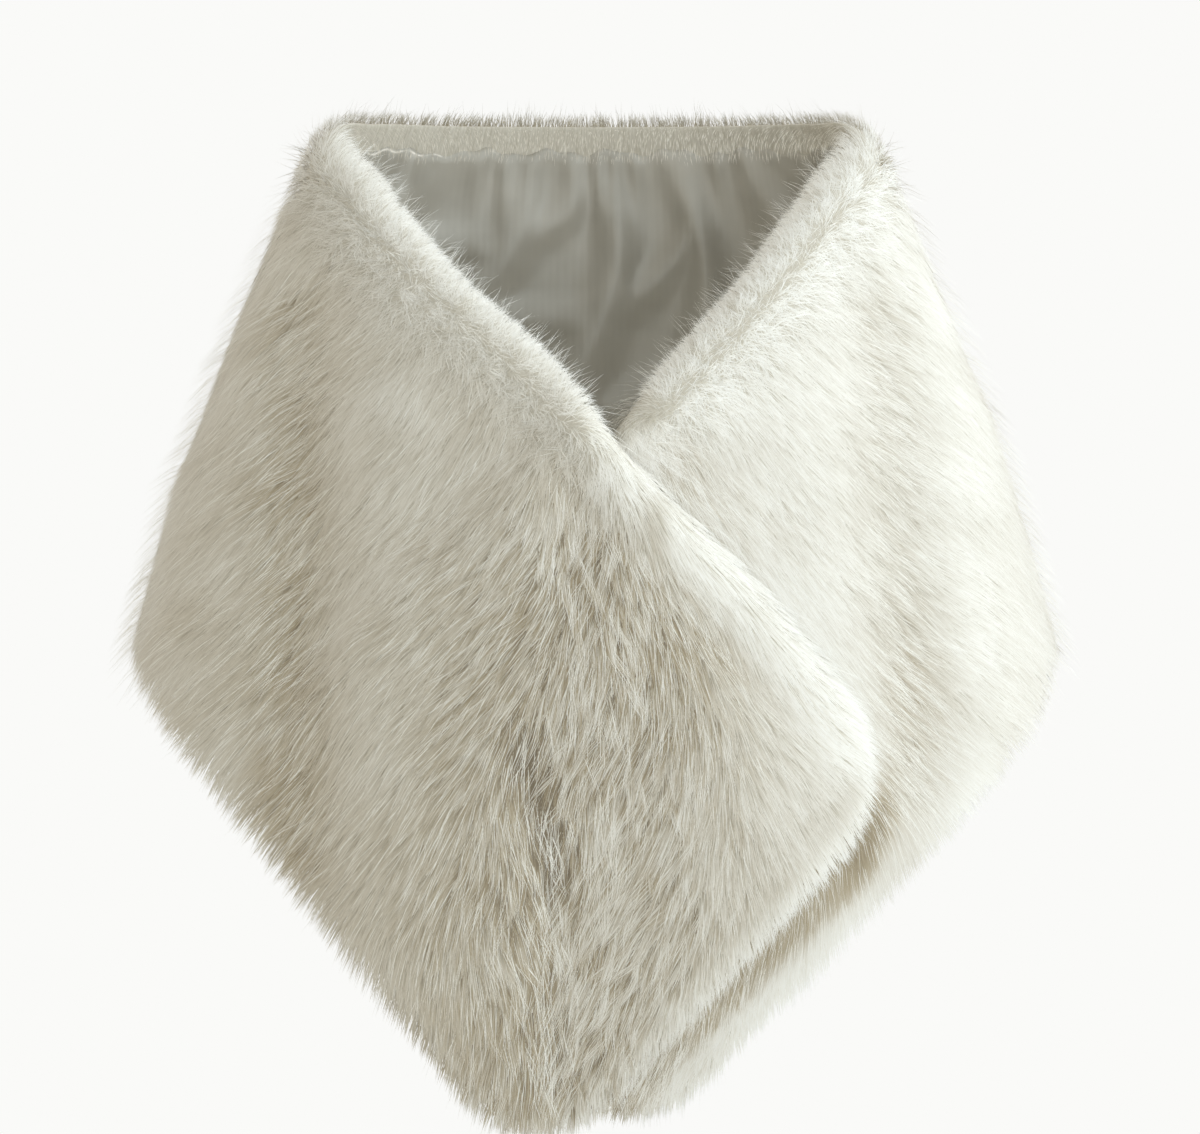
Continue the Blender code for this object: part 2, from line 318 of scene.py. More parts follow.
@dataclass(frozen=True)
class WornForm:
    """The smooth general figure that the cloth is laid on, and the folds of its front."""

    rings: tuple[Ring, ...] = FORM
    folds: tuple[Fold, ...] = FOLDS
    folds_in_front: Fade = Fade(0.05, 0.25)
    squareness: float = 0.08

    def column(self, name: str, height: np.ndarray) -> np.ndarray:
        """A column of the rings' table at some heights.

        Args:
            name: The column.
            height: The heights.

        Returns:
            Its values there.
        """
        heights = np.array([ring.height for ring in self.rings])
        return smooth_curve(heights, np.array([getattr(ring, name) for ring in self.rings]), height)

    def smooth(self, turn: np.ndarray, height: np.ndarray) -> np.ndarray:
        """Points of the form before its folds.

        Args:
            turn: Degrees from the centre front, positive on the wearer's right.
            height: Heights.

        Returns:
            The points.
        """
        angle = np.radians(turn)
        front, back = self.column("front_depth", height), self.column("back_depth", height)
        depth = back + (front - back) * (1 + np.cos(angle)) / 2
        squared = 1 + self.squareness * np.sin(2 * angle) ** 2
        x = -self.column("half_width", height) * squared * np.sin(angle)
        y = -depth * squared * np.cos(angle)
        return np.stack([x, y, height + 0 * x], axis=-1)

    @staticmethod
    def normals(
        surface: Callable[[np.ndarray, np.ndarray], np.ndarray], turn: np.ndarray, height: np.ndarray
    ) -> np.ndarray:
        """Outward unit normals of a surface.

        Args:
            surface: Gives its points for turns and heights.
            turn: The turns.
            height: The heights.

        Returns:
            A normal for each of them.
        """
        small_turn, small_height = 0.25, 0.0015
        along = surface(turn - small_turn, height) - surface(turn + small_turn, height)
        up = surface(turn, height + small_height) - surface(turn, height - small_height)
        return unit(np.cross(along, up))

    def rise(self, x: np.ndarray, height: np.ndarray) -> np.ndarray:
        """How far the folds lift or sink the cloth.

        Args:
            x: Places across the front view.
            height: Their heights.

        Returns:
            The rise at each, below zero in a trough.
        """
        rise = np.zeros(x.shape)
        for fold in self.folds:
            share = (height - fold.top_height) / (fold.bottom_height - fold.top_height)
            middle = fold.top_x + (fold.bottom_x - fold.top_x) * np.clip(share, 0, 1)
            beyond = np.maximum(np.abs(share - 0.5) - 0.5, 0) * (fold.top_height - fold.bottom_height)
            rise = rise + fold.rise * np.exp(-((np.hypot(x - middle, beyond) / fold.half_width) ** 2))
        return rise

    def folded(self, turn: np.ndarray, height: np.ndarray) -> np.ndarray:
        """The form with the front's folds, which fade out towards the sides.

        Args:
            turn: Turns in degrees.
            height: Heights.

        Returns:
            The points.
        """
        base = self.smooth(turn, height)
        in_front = self.folds_in_front.at(np.cos(np.radians(turn)))
        rise = self.rise(base[..., 0], height) * in_front
        return base + self.normals(self.smooth, turn, height) * rise[..., None]

    def offset(self, turn: np.ndarray, height: np.ndarray, by: np.ndarray) -> np.ndarray:
        """Points at a distance from the folded form, positive outwards."""
        normal = self.normals(self.folded, turn, height)
        return self.folded(turn, height) + normal * np.asarray(by)[..., None]


class Side(Enum):
    """The half of the strip on one side of the wearer's centre back."""

    RIGHT = 1
    LEFT = -1


class StripHalf:
    """One half of the strip laid on the form. along is the distance from the centre back.

    Its front's outline starts at a share of its length, FRONT_FROM.
    """

    SAMPLES = 1200
    FRONT_FROM = 0.290
    OUTLINE_STEPS = 30

    def __init__(
        self, form: WornForm, side: Side, neck: tuple[Station, ...], hem: tuple[Station, ...]
    ) -> None:
        """Measures both edges of the half.

        Args:
            form: The form that it is laid on.
            side: Which half it is.
            neck: Stations of the neck edge, from the centre back to the end.
            hem: Stations of the hem, likewise.
        """
        self.form = form
        self.side = side
        self.neck = self.measured(neck)
        self.hem = self.measured(hem)

    def measured(self, edge: tuple[Station, ...]) -> tuple[np.ndarray, np.ndarray]:
        """Measures an edge.

        Args:
            edge: Its stations.

        Returns:
            Turn and height at even steps of distance along it.
        """
        turn = np.array([station.turn for station in edge])
        height = np.array([station.height for station in edge])
        chords = np.linalg.norm(np.diff(self.form.smooth(turn, height), axis=0), axis=1)
        knots = np.concatenate([[0], np.cumsum(chords)])
        fine = np.linspace(0, knots[-1], self.SAMPLES)
        fine_turn = smooth_curve(knots, turn, fine)
        fine_height = smooth_curve(knots, height, fine)
        steps = np.linalg.norm(np.diff(self.form.smooth(fine_turn, fine_height), axis=0), axis=1)
        run = np.concatenate([[0], np.cumsum(steps)])
        even = np.linspace(0, run[-1], self.SAMPLES)
        return np.interp(even, run, fine_turn), np.interp(even, run, fine_height)

    def place(self, along: np.ndarray, across: np.ndarray) -> tuple[np.ndarray, np.ndarray]:
        """Where points of the half lie.

        Args:
            along: Distances from the centre back.
            across: Distances from the neck edge.

        Returns:
            Their turns, below zero on the left half, and heights.
        """
        share = np.clip(along / CLOTH.half_length, 0, 1) * (self.SAMPLES - 1)
        samples = np.arange(self.SAMPLES)
        neck_turn, neck_height = (np.interp(share, samples, column) for column in self.neck)
        hem_turn, hem_height = (np.interp(share, samples, column) for column in self.hem)
        down = across / CLOTH.width
        turn = neck_turn + (hem_turn - neck_turn) * down
        return self.side.value * turn, neck_height + (hem_height - neck_height) * down

    def front_outline(self) -> np.ndarray:
        """The front's edge in the front view.

        Returns:
            Its points, from the shoulder round the strip's end and back along the hem.
        """
        steps = self.OUTLINE_STEPS
        down = np.linspace(0, CLOTH.width, 2 * steps)
        across = np.concatenate([[0.0] * steps, down, [CLOTH.width] * steps])
        run = np.linspace(self.FRONT_FROM, 1, steps)
        end = CLOTH.half_length - CLOTH.end_cut(down)
        to_end = run * (CLOTH.half_length - CLOTH.neck_corner)
        from_end = run[::-1] * (CLOTH.half_length - CLOTH.hem_corner)
        along = np.concatenate([to_end, end, from_end])
        return self.form.smooth(*self.place(along, across))[:, (0, 2)]


@dataclass(frozen=True)
class Layers:
    """Thicknesses of the cloth and how the two fronts lie on each other, as in the CAD solids."""

    fur_wall: float = 0.020
    lining_wall: float = 0.0015
    seam_gap: float = 0.0003
    roll_rise: float = 0.006
    roll_crest: float = 0.016
    roll_width: float = 0.058
    pressed: float = 0.008
    press_run_in: float = 0.016
    lap_gap: float = 0.0030
    lift_run_in: float = 0.055
    lift_lead: float = 0.008


class LaidHalf:
    """One half of the strip with its layers: gives points of any face of the fur and the lining."""

    def __init__(self, strip: StripHalf, other: StripHalf, layers: Layers) -> None:
        """Keeps the half and the outline of the other front, which it crosses.

        Args:
            strip: The half.
            other: The other half.
            layers: Thicknesses of the cloth.
        """
        self.strip = strip
        self.layers = layers
        self.other_outline = other.front_outline()
        self.is_outer = strip.side is Side.RIGHT

    def crossing(self, turn: np.ndarray, height: np.ndarray) -> np.ndarray:
        """Distance inside the other front's outline in the front view.

        Args:
            turn: Turns in degrees.
            height: Heights.

        Returns:
            The distances, and FAR_OUTSIDE at the back.
        """
        front_view = self.strip.form.smooth(turn, height)[..., (0, 2)]
        inside = inside_distance(front_view, self.other_outline)
        return np.where(np.abs(turn) < 90, inside, FAR_OUTSIDE)

    def overlap(self, turn: np.ndarray, height: np.ndarray) -> tuple[np.ndarray, np.ndarray]:
        """How the half lies on the other front.

        Args:
            turn: Turns in degrees.
            height: Heights.

        Returns:
            How far its inside face is lifted over that front, and how far its pile is pressed.
        """
        inside = self.crossing(turn, height)
        sizes = self.layers
        if self.is_outer:
            share = eased((inside + sizes.lift_run_in) / (sizes.lift_run_in - sizes.lift_lead))
            over = sizes.fur_wall - sizes.pressed + sizes.lap_gap + sizes.seam_gap + sizes.lining_wall
            return share * over, 0 * share
        share = eased(inside / sizes.press_run_in)
        return 0 * share, share * sizes.pressed

    def roll(self, along: np.ndarray, across: np.ndarray) -> np.ndarray:
        """How far the turned edge stands up as a roll.

        Args:
            along: Distances from the centre back.
            across: Distances from the neck edge.

        Returns:
            The rise.
        """
        sizes = self.layers
        to_edge = np.minimum(across, CLOTH.half_length - CLOTH.end_cut(across) - along)
        falling = eased((sizes.roll_width - to_edge) / (sizes.roll_width - sizes.roll_crest))
        return sizes.roll_rise * falling * eased(to_edge / sizes.roll_crest)


@dataclass(frozen=True)
class FurCloth:
    """Sizes of the hide and of the pile on it."""

    pile_height: float = 0.0095
    least_hide: float = 0.004
    off_lining: float = 0.0005
    turned_rim: float = 0.026
    hem_rim: float = 0.008
    rim_change: float = 0.12
    rim_roundness: float = 0.25
    turned_in: float = 0.018
    parting: float = 0.027
    parting_width: float = 0.015
    past_end: float = 0.02
    past_lower_end: float = 0.05
    cut: Cut = field(default_factory=lambda: Cut(neck_inset=0.006, hem_inset=0.022, end_inset=0.009))
    step_along: float = 0.009
    rows_between: int = 54
    edge_steps: tuple[float, ...] = (0.0, 0.0004, 0.0016, 0.0033, 0.005, 0.009, 0.015, 0.022)
    # How far along each front the pile is turned over, how it falls, and where the front view rules it
    turned_outer: Fade = Fade(0.70, -0.10)
    turned_under: Fade = Fade(0.67, -0.10)
    fall_at_back: float = 0.5
    fall_at_hem: float = 0.6
    off_hem: float = 0.6
    faces_front: Fade = Fade(0.15, 0.45)


class Skin(NamedTuple):
    """The hide's grid: one row for each column of the strip, running round the strip's section."""

    place: np.ndarray
    normal: np.ndarray
    nap: np.ndarray
    run: np.ndarray
    across: np.ndarray
    outward: np.ndarray
    covered: np.ndarray
    turned: np.ndarray


NAP_COLUMNS_RIGHT = (-0.300, -0.195, -0.103, -0.057, -0.011, 0.035, 0.080, 0.126, 0.172)
NAP_RIGHT = (
    (-0.163, (-35, -42, -25, -10, 5, 10, 20, 30, 40)),
    (-0.255, (-40, -40, -33, -24, -7, 20, 30, 35, 40)),
    (-0.347, (-46, -36, -46, -40, -4, 9, 27, 35, 40)),
    (-0.439, (-46, -36, -42, -19, -13, -19, 0, 36, 46)),
    (-0.530, (-42, -40, -23, 9, -5, -21, -17, 14, 36)),
    (-0.622, (-30, -25, -1, 3, -12, -25, -12, 0, 10)),
    (-0.714, (-20, -15, -5, 0, -12, -22, -18, -10, -5)),
)
NAP_COLUMNS_LEFT = (0.080, 0.126, 0.172, 0.218, 0.264, 0.310)
NAP_LEFT = (
    (-0.163, (35, 38, 45, 48, 42, 40)),
    (-0.255, (25, 32, 37, 44, 48, 46)),
    (-0.347, (25, 32, 36, 48, 53, 48)),
    (-0.439, (25, 32, 38, 46, 48, 50)),
    (-0.530, (-10, -5, 5, 8, 25, 30)),
    (-0.622, (-15, -15, -10, 0, 10, 20)),
    (-0.714, (-22, -20, -15, -5, 0, 10)),
)


class NapTable:
    """How far the nap leans from straight down in the front view, in degrees towards +X."""

    def __init__(self, columns: tuple[float, ...], rows: tuple[tuple[float, tuple[int, ...]], ...]) -> None:
        """Keeps the table with its heights rising.

        Args:
            columns: Places across the front view, rising.
            rows: For each height, falling, the lean at those places.
        """
        self.x = np.array(columns)
        self.height = np.array([row[0] for row in rows])[::-1]
        self.lean = np.array([row[1] for row in rows], float)[::-1]

    def at(self, x: np.ndarray, height: np.ndarray) -> np.ndarray:
        """The lean, bilinear with eased steps.

        Args:
            x: Places across the front view.
            height: Their heights.

        Returns:
            The lean at each.
        """
        def cell(knots: np.ndarray, value: np.ndarray) -> tuple[np.ndarray, np.ndarray]:
            """The table's cell that each value falls in, and how far into it."""
            value = np.clip(value, knots[0], knots[-1])
            i = np.clip(np.searchsorted(knots, value) - 1, 0, len(knots) - 2)
            return i, eased((value - knots[i]) / (knots[i + 1] - knots[i]))

        i, s = cell(self.x, x)
        j, t = cell(self.height, height)
        low = self.lean[j, i] * (1 - s) + self.lean[j, i + 1] * s
        high = self.lean[j + 1, i] * (1 - s) + self.lean[j + 1, i + 1] * s
        return low * (1 - t) + high * t


def linear(hex_colour: str) -> tuple[float, float, float, float]:
    """Turns an sRGB hex colour to linear values.

    Args:
        hex_colour: Six hex digits.

    Returns:
        Red, green and blue, with full alpha.
    """
    parts = [int(hex_colour[i : i + 2], 16) / 255 for i in (0, 2, 4)]
    values = [c / 12.92 if c <= 0.04045 else ((c + 0.055) / 1.055) ** 2.4 for c in parts]
    return (*values, 1.0)


# What holds a tree of nodes
Tree = bpy.types.Material | bpy.types.World


def feed(owner: Tree, node: bpy.types.Node, inputs: dict) -> None:
    """Gives a node's inputs their values or links.

    Args:
        owner: The material or world that holds the node.
        node: The node.
        inputs: For an input's name or number, the output socket or the value that it gets.
    """
    for name, source in inputs.items():
        if isinstance(source, bpy.types.NodeSocket):
            owner.node_tree.links.new(source, node.inputs[name])
        else:
            node.inputs[name].default_value = source


def add_node(owner: Tree, kind: str, inputs: dict | None = None, **settings: object) -> bpy.types.Node:
    """Adds a node.

    Args:
        owner: The material or world whose tree takes the node.
        kind: The node's type, such as ShaderNodeMix.
        inputs: For an input's name or number, the output socket or the value that it gets.
        settings: The node's own properties.

    Returns:
        The new node.
    """
    node = owner.node_tree.nodes.new(kind)
    for name, value in settings.items():
        setattr(node, name, value)
    feed(owner, node, inputs or {})
    return node


def mix_output(node: bpy.types.Node) -> bpy.types.NodeSocket:
    """The colour output of a colour mix node."""
    return next(socket for socket in node.outputs if socket.type == "RGBA")


def ramp(node: bpy.types.Node, *stops: tuple[float, str]) -> None:
    """Gives a colour ramp its stops.

    Args:
        node: The ramp.
        stops: Each stop's position and sRGB hex colour.
    """
    elements = node.color_ramp.elements
    while len(elements) < len(stops):
        elements.new(0.5)
    for element, (position, colour) in zip(elements, stops):
        element.position = position
        element.color = linear(colour)


def new_material(name: str) -> tuple[bpy.types.Material, bpy.types.Node]:
    """A new material.

    Args:
        name: Its name.

    Returns:
        The material, and its Principled BSDF.
    """
    material = bpy.data.materials.new(name)
    material.use_nodes = True
    return material, material.node_tree.nodes["Principled BSDF"]


@dataclass(frozen=True)
class AcrylicPile:
    """Modacrylic pile: fine crimped fibres that scatter light, so matt with a soft sheen.

    The map has the hair's tint across it, painted light and shade included, and the way from root to tip up
    it.
    """

    roughness: float = 0.72
    sheen: float = 0.25
    specular: float = 0.3
    hair_map: str = "OFBake"
    tint_range: tuple[float, float] = (0.03, 0.97)
    half_strip: float = 0.004
    foot: float = 0.02
    height: float = 0.96
    # How far a tint below 0 darkens a hair, as painted shade
    darkening: float = 1.4
    darkest: float = 0.2

    def material(self) -> bpy.types.Material:
        """Colours each hair by its own UV map.

        Returns:
            The material.
        """
        material, finish = new_material("modacrylic_pile")
        uv = add_node(material, "ShaderNodeUVMap", uv_map=self.hair_map)
        parts = add_node(material, "ShaderNodeSeparateXYZ", {0: uv.outputs["UV"]})
        # The ramps run from root to tip. The darker roots are painted shade between the hairs, which cast
        # none. The darker warm ramp serves both the fur's warm tone and painted shade, and the cool one
        # carries painted light
        cool = add_node(material, "ShaderNodeValToRGB", {0: parts.outputs["Y"]})
        ramp(cool, (0.0, "C8C0AA"), (0.45, "EBE7DA"), (1.0, "FDFDF7"))
        warm = add_node(material, "ShaderNodeValToRGB", {0: parts.outputs["Y"]})
        ramp(warm, (0.0, "6B5F4C"), (0.45, "9B8D72"), (1.0, "C3B69B"))
        tints = {"Factor": parts.outputs["X"], "A": warm.outputs[0], "B": cool.outputs[0]}
        tint = add_node(material, "ShaderNodeMix", tints, data_type="RGBA")
        looks = {"Roughness": self.roughness, "Sheen Weight": self.sheen, "Specular IOR Level": self.specular}
        feed(material, finish, {"Base Color": mix_output(tint), **looks})
        return material

    def map(self, tint: np.ndarray, up: np.ndarray, sideways: np.ndarray) -> np.ndarray:
        """Each hair's places on its map. A tint below 0, which is painted shade, keeps the whole hair near
        its root's darker colours.

        Args:
            tint: Each hair's tint.
            up: How far up the hair each of its points is, from 0 to 1.
            sideways: -1 on its left, 1 on its right and 0 at the tip.

        Returns:
            UV places, hair by point by axis.
        """
        u = np.clip(tint, *self.tint_range)[:, None] + self.half_strip * sideways
        shown = np.clip(1 + self.darkening * np.minimum(tint, 0), self.darkest, 1)
        return np.stack([u, up * self.height * shown[:, None] + self.foot], axis=-1)


@dataclass(frozen=True)
class KnittedBacking:
    """Knitted polyester backing with short underfur: fully matt and warm, streaked along the nap."""

    roughness: float = 0.95
    streaks_per_metre: float = 500.0
    stretch: float = 0.12

    def material(self) -> bpy.types.Material:
        """Streaks 2 mm wide that follow the strip's own UV map, which is in metres.

        Returns:
            The material.
        """
        material, finish = new_material("knitted_backing_with_underfur")
        uv = add_node(material, "ShaderNodeUVMap", uv_map="strip")
        way = add_node(material, "ShaderNodeMapping", {0: uv.outputs["UV"], "Scale": (1, self.stretch, 1)})
        grain = {"Vector": way.outputs[0], "Scale": self.streaks_per_metre, "Detail": 4.0}
        noise = add_node(material, "ShaderNodeTexNoise", grain)
        colour = add_node(material, "ShaderNodeValToRGB", {0: noise.outputs[0]})
        ramp(colour, (0.3, "B0A998"), (0.7, "C4BEAF"))
        relief = {"Height": noise.outputs[0], "Strength": 0.6, "Distance": 0.001}
        bump = add_node(material, "ShaderNodeBump", relief)
        looks = {"Base Color": colour.outputs[0], "Normal": bump.outputs[0], "Roughness": self.roughness}
        feed(material, finish, looks)
        return material


@dataclass(frozen=True)
class SatinLining:
    """Polyester satin: its long floats give a soft directional sheen. Grey-brown with faint clouds."""

    roughness: float = 0.32
    metallic: float = 0.25
    band_mm: float = 5.655
    clouds: float = 14.0

    def material(self) -> bpy.types.Material:
        """The weave's bands are drawn 5.7 mm wide, far coarser than its threads, so that they show.

        Returns:
            The material.
        """
        material, finish = new_material("polyester_satin")
        uv = add_node(material, "ShaderNodeUVMap", uv_map="strip").outputs["UV"]
        # A wave texture has one band to a tenth of pi, over its scale
        weave = {"Vector": uv, "Scale": 100 * np.pi / self.band_mm, "Distortion": 1.5, "Detail": 2.0}
        threads = add_node(material, "ShaderNodeTexWave", weave, bands_direction="X")
        cloud = add_node(material, "ShaderNodeTexNoise", {"Vector": uv, "Scale": self.clouds, "Detail": 3.0})
        colour = add_node(material, "ShaderNodeValToRGB", {0: cloud.outputs[0]})
        ramp(colour, (0.3, "A09B8E"), (0.7, "B4AFA2"))
        relief = {"Height": threads.outputs[1], "Strength": 0.12, "Distance": 0.0004}
        bump = add_node(material, "ShaderNodeBump", relief)
        looks = {"Base Color": colour.outputs[0], "Normal": bump.outputs[0], "Roughness": self.roughness}
        feed(material, finish, {**looks, "Metallic": self.metallic})
        return material


def new_grid(name: str, columns: int, rows: int) -> bpy.types.Object:
    """Adds a flat grid primitive, alone selected.

    Args:
        name: Its name.
        columns: Vertices along X.
        rows: Vertices along Y.

    Returns:
        The grid.
    """
    bpy.ops.object.select_all(action="DESELECT")
    bpy.ops.mesh.primitive_grid_add(x_subdivisions=columns - 1, y_subdivisions=rows - 1, size=1)
    grid = bpy.context.object
    grid.name = grid.data.name = name
    return grid


def lay_on(grid: bpy.types.Object, points: np.ndarray, flat: np.ndarray) -> None:
    """Moves a grid primitive's vertices onto the form and gives it the strip's UV map.

    Args:
        grid: The primitive, with columns along X and rows along Y.
        points: Its places, one row of points for each column.
        flat: The same points on the flat strip, in metres.
    """
    mesh = grid.data
    mesh.vertices.foreach_set("co", points.swapaxes(0, 1).reshape(-1))
    corners = np.empty(len(mesh.loops), np.int32)
    mesh.loops.foreach_get("vertex_index", corners)
    for layer in list(mesh.uv_layers):
        mesh.uv_layers.remove(layer)
    layer = mesh.uv_layers.new(name="strip")
    places = flat.swapaxes(0, 1).reshape(-1, 2)[corners]
    layer.uv.foreach_set("vector", places.astype(np.float32).reshape(-1))
    mesh.update()


def apply_modifier(obj: bpy.types.Object, kind: str, **settings: object) -> None:
    """Adds a modifier and applies it.

    Args:
        obj: The piece.
        kind: The modifier's type.
        settings: Its properties.
    """
    modifier = obj.modifiers.new(kind.title(), kind)
    for name, value in settings.items():
        setattr(modifier, name, value)
    bpy.context.view_layer.objects.active = obj
    bpy.ops.object.modifier_apply(modifier=modifier.name)


def both_halves(
    halves: dict[Side, LaidHalf], work: Callable[[LaidHalf, np.ndarray, np.ndarray], tuple],
    along: np.ndarray, across: np.ndarray,
) -> tuple[np.ndarray, ...]:
    """Runs work on the columns of the right half and, mirrored in order, of the left half.

    Args:
        halves: The two laid halves.
        work: Gives arrays for a half at along and across.
        along: Distances from the centre back, its first column at the centre.
        across: Distances from the neck edge.

    Returns:
        The arrays with the left half's columns first, and the centre column once.
    """
    right = work(halves[Side.RIGHT], along, across)
    left = work(halves[Side.LEFT], along, across)
    return tuple(np.concatenate([b[:0:-1], a]) for a, b in zip(right, left))


class FurShawl:
    """The strip of fur: its hide, and the pile that grows on it."""

    def __init__(self, halves: dict[Side, LaidHalf], cloth: FurCloth) -> None:
        """Works out the hide's grid.

        Args:
            halves: The two laid halves.
            cloth: The cloth's sizes.
        """
        self.halves = halves
        self.cloth = cloth
        self.naps = {
            Side.RIGHT: NapTable(NAP_COLUMNS_RIGHT, NAP_RIGHT),
            Side.LEFT: NapTable(NAP_COLUMNS_LEFT, NAP_LEFT),
        }
        self.skin = self.laid_skin()

    def grid(self) -> tuple[np.ndarray, np.ndarray, np.ndarray]:
        """The grid of one half.

        Returns:
            Its points' distances from the centre back and from the neck edge, and 1 outside and -1 inside.
            A row runs from the hem up the outside, over the neck edge and down the inside.
        """
        cut, edge = self.cloth.cut, np.array(self.cloth.edge_steps)
        from_end = np.arange(round((cut.end - edge[-1]) / self.cloth.step_along), 0, -1.0)
        from_end = np.concatenate([edge[-1] + from_end * (cut.end - edge[-1]) / from_end[0], edge[::-1]])
        between = np.linspace(cut.top + edge[-1], cut.low - edge[-1], self.cloth.rows_between)
        rows = np.concatenate([cut.top + edge, between[1:-1], cut.low - edge[::-1]])
        ring = np.concatenate([rows[::-1], rows[1:]])
        outward = np.concatenate([np.ones(len(rows)), -np.ones(len(rows) - 1)])
        from_end, across = np.meshgrid(from_end, ring, indexing="ij")
        along = cut.along_at(from_end, across)
        return along, across, np.broadcast_to(outward, along.shape)

    def laid_skin(self) -> Skin:
        """The hide's grid over both halves.

        Returns:
            The grid's values.
        """
        along, across, outward = self.grid()

        def half(laid: LaidHalf, along: np.ndarray, across: np.ndarray) -> tuple[np.ndarray, ...]:
            """The skin's values on one half."""
            place, normal, nap, covered = self.laid_half(laid, along, across, outward)
            turned = self.from_turned_edge(along, across)
            return place, normal, nap, along * laid.strip.side.value, across, outward, covered, turned

        return Skin(*both_halves(self.halves, half, along, across))

    def laid_half(
        self, laid: LaidHalf, along: np.ndarray, across: np.ndarray, outward: np.ndarray
    ) -> tuple[np.ndarray, ...]:
        """Lays one half's grid on the form.

        Args:
            laid: The half.
            along: Distances from the centre back.
            across: Distances from the neck edge.
            outward: 1 outside and -1 inside.

        Returns:
            Place, normal and nap of each point, and how far the other front covers it.
        """
        sizes, form = laid.layers, laid.strip.form
        turn, height = laid.strip.place(along, across)
        lift, pressed = laid.overlap(turn, height)
        inner = lift - sizes.fur_wall + self.cloth.off_lining
        roll = laid.roll(along, across) * (1 - pressed / sizes.pressed)
        outer = np.maximum(lift - pressed + roll - self.cloth.pile_height, inner + self.cloth.least_hide)
        from_edge = self.cloth.cut.edge_distance(along, across)
        off_hem = eased((self.cloth.cut.low - across) / self.cloth.rim_change)
        rim = self.cloth.hem_rim + (self.cloth.turned_rim - self.cloth.hem_rim) * off_hem
        into = 1 - np.clip(from_edge / rim, 0, 1)
        facing = outward * np.sqrt(np.clip(1 - into**2, 0, 1))
        place = form.offset(turn, height, (outer + inner) / 2 + facing * (outer - inner) / 2)

        def shifted(by_along: float, by_across: float) -> np.ndarray:
            """The form's points a little further along the strip or across it."""
            return form.folded(*laid.strip.place(along + by_along, across + by_across))

        small = 0.002
        run_way = unit(shifted(small, 0) - shifted(-small, 0))
        across_way = unit(shifted(0, small) - shifted(0, -small))
        edge_along = self.cloth.cut.edge_distance(along + small / 2, across) - from_edge
        edge_across = self.cloth.cut.edge_distance(along, across + small / 2) - from_edge
        off_edge = unit(-(run_way * edge_along[..., None] + across_way * edge_across[..., None]) + 1e-9)
        form_normal = form.normals(form.folded, turn, height)
        rough_normal = form_normal * facing[..., None] + off_edge * into[..., None]
        normal = unit(np.cross(np.gradient(place, axis=0), np.gradient(place, axis=1)) + 1e-12)
        normal = normal * np.sign((normal * rough_normal).sum(-1, keepdims=True))
        normal = unit(normal + self.cloth.rim_roundness * unit(rough_normal))
        off_rim = off_edge * facing[..., None] - form_normal * into[..., None]
        nap = self.nap(laid, turn, height, along, across, across_way, normal, off_rim, off_edge, into)
        covered = np.full(turn.shape, FAR_OUTSIDE) if laid.is_outer else laid.crossing(turn, height)
        return place, normal, nap, covered

    def nap(
        self, laid: LaidHalf, turn: np.ndarray, height: np.ndarray, along: np.ndarray, across: np.ndarray,
        across_way: np.ndarray, normal: np.ndarray, off_rim: np.ndarray, off_edge: np.ndarray,
        into: np.ndarray,
    ) -> np.ndarray:
        """The way the pile lies: over the turned edge to the inside, and down the outside.

        Args:
            laid: The half.
            turn: Turn of each point.
            height: Height of each point.
            along: Distance from the centre back.
            across: Distance from the neck edge.
            across_way: Unit way across the strip, off the neck edge.
            normal: Outward unit normals of the hide.
            off_rim: Unit way round the rim, from the outside to the inside.
            off_edge: Unit way off the strip's nearest edge.
            into: 0 on the faces to 1 on the middle of the rim.

        Returns:
            Unit vectors.
        """
        cloth = self.cloth
        x = laid.strip.form.smooth(turn, height)[..., 0]
        lean = np.radians(self.naps[laid.strip.side].at(x, height))
        seen = np.stack([np.sin(lean), np.zeros_like(lean), -np.cos(lean)], axis=-1)
        down = np.zeros_like(seen)
        down[..., 2] = -1
        around = unit(across_way + down * cloth.fall_at_back)
        front = cloth.faces_front.at(-normal[..., 1])[..., None]
        field_way = around * (1 - front) + seen * front
        field_way = unit(field_way - normal * (field_way * normal).sum(-1, keepdims=True))
        hem_way = unit(off_edge * cloth.off_hem + seen + down * cloth.fall_at_hem)
        field_way = unit(field_way * (1 - into[..., None]) + hem_way * into[..., None])
        past = self.from_turned_edge(along, across) - cloth.parting
        above_lap = (cloth.turned_outer if laid.is_outer else cloth.turned_under).at(along)
        turned = eased(0.5 - past / cloth.parting_width) * above_lap
        return unit(field_way * (1 - turned[..., None]) + off_rim * turned[..., None])

    def from_turned_edge(self, along: np.ndarray, across: np.ndarray) -> np.ndarray:
        """Distance from the turned edge, which runs along the neck and eases off down the end.

        Args:
            along: Distances from the centre back.
            across: Distances from the neck edge.

        Returns:
            The distances.
        """
        cut = self.cloth.cut
        to_end = cut.end - cut.end_cut(across) - along
        lower = np.clip((across - cut.neck_corner) / (cut.width / 2), 0, 1)
        return np.minimum(across - cut.top, to_end + self.cloth.past_end + self.cloth.past_lower_end * lower)

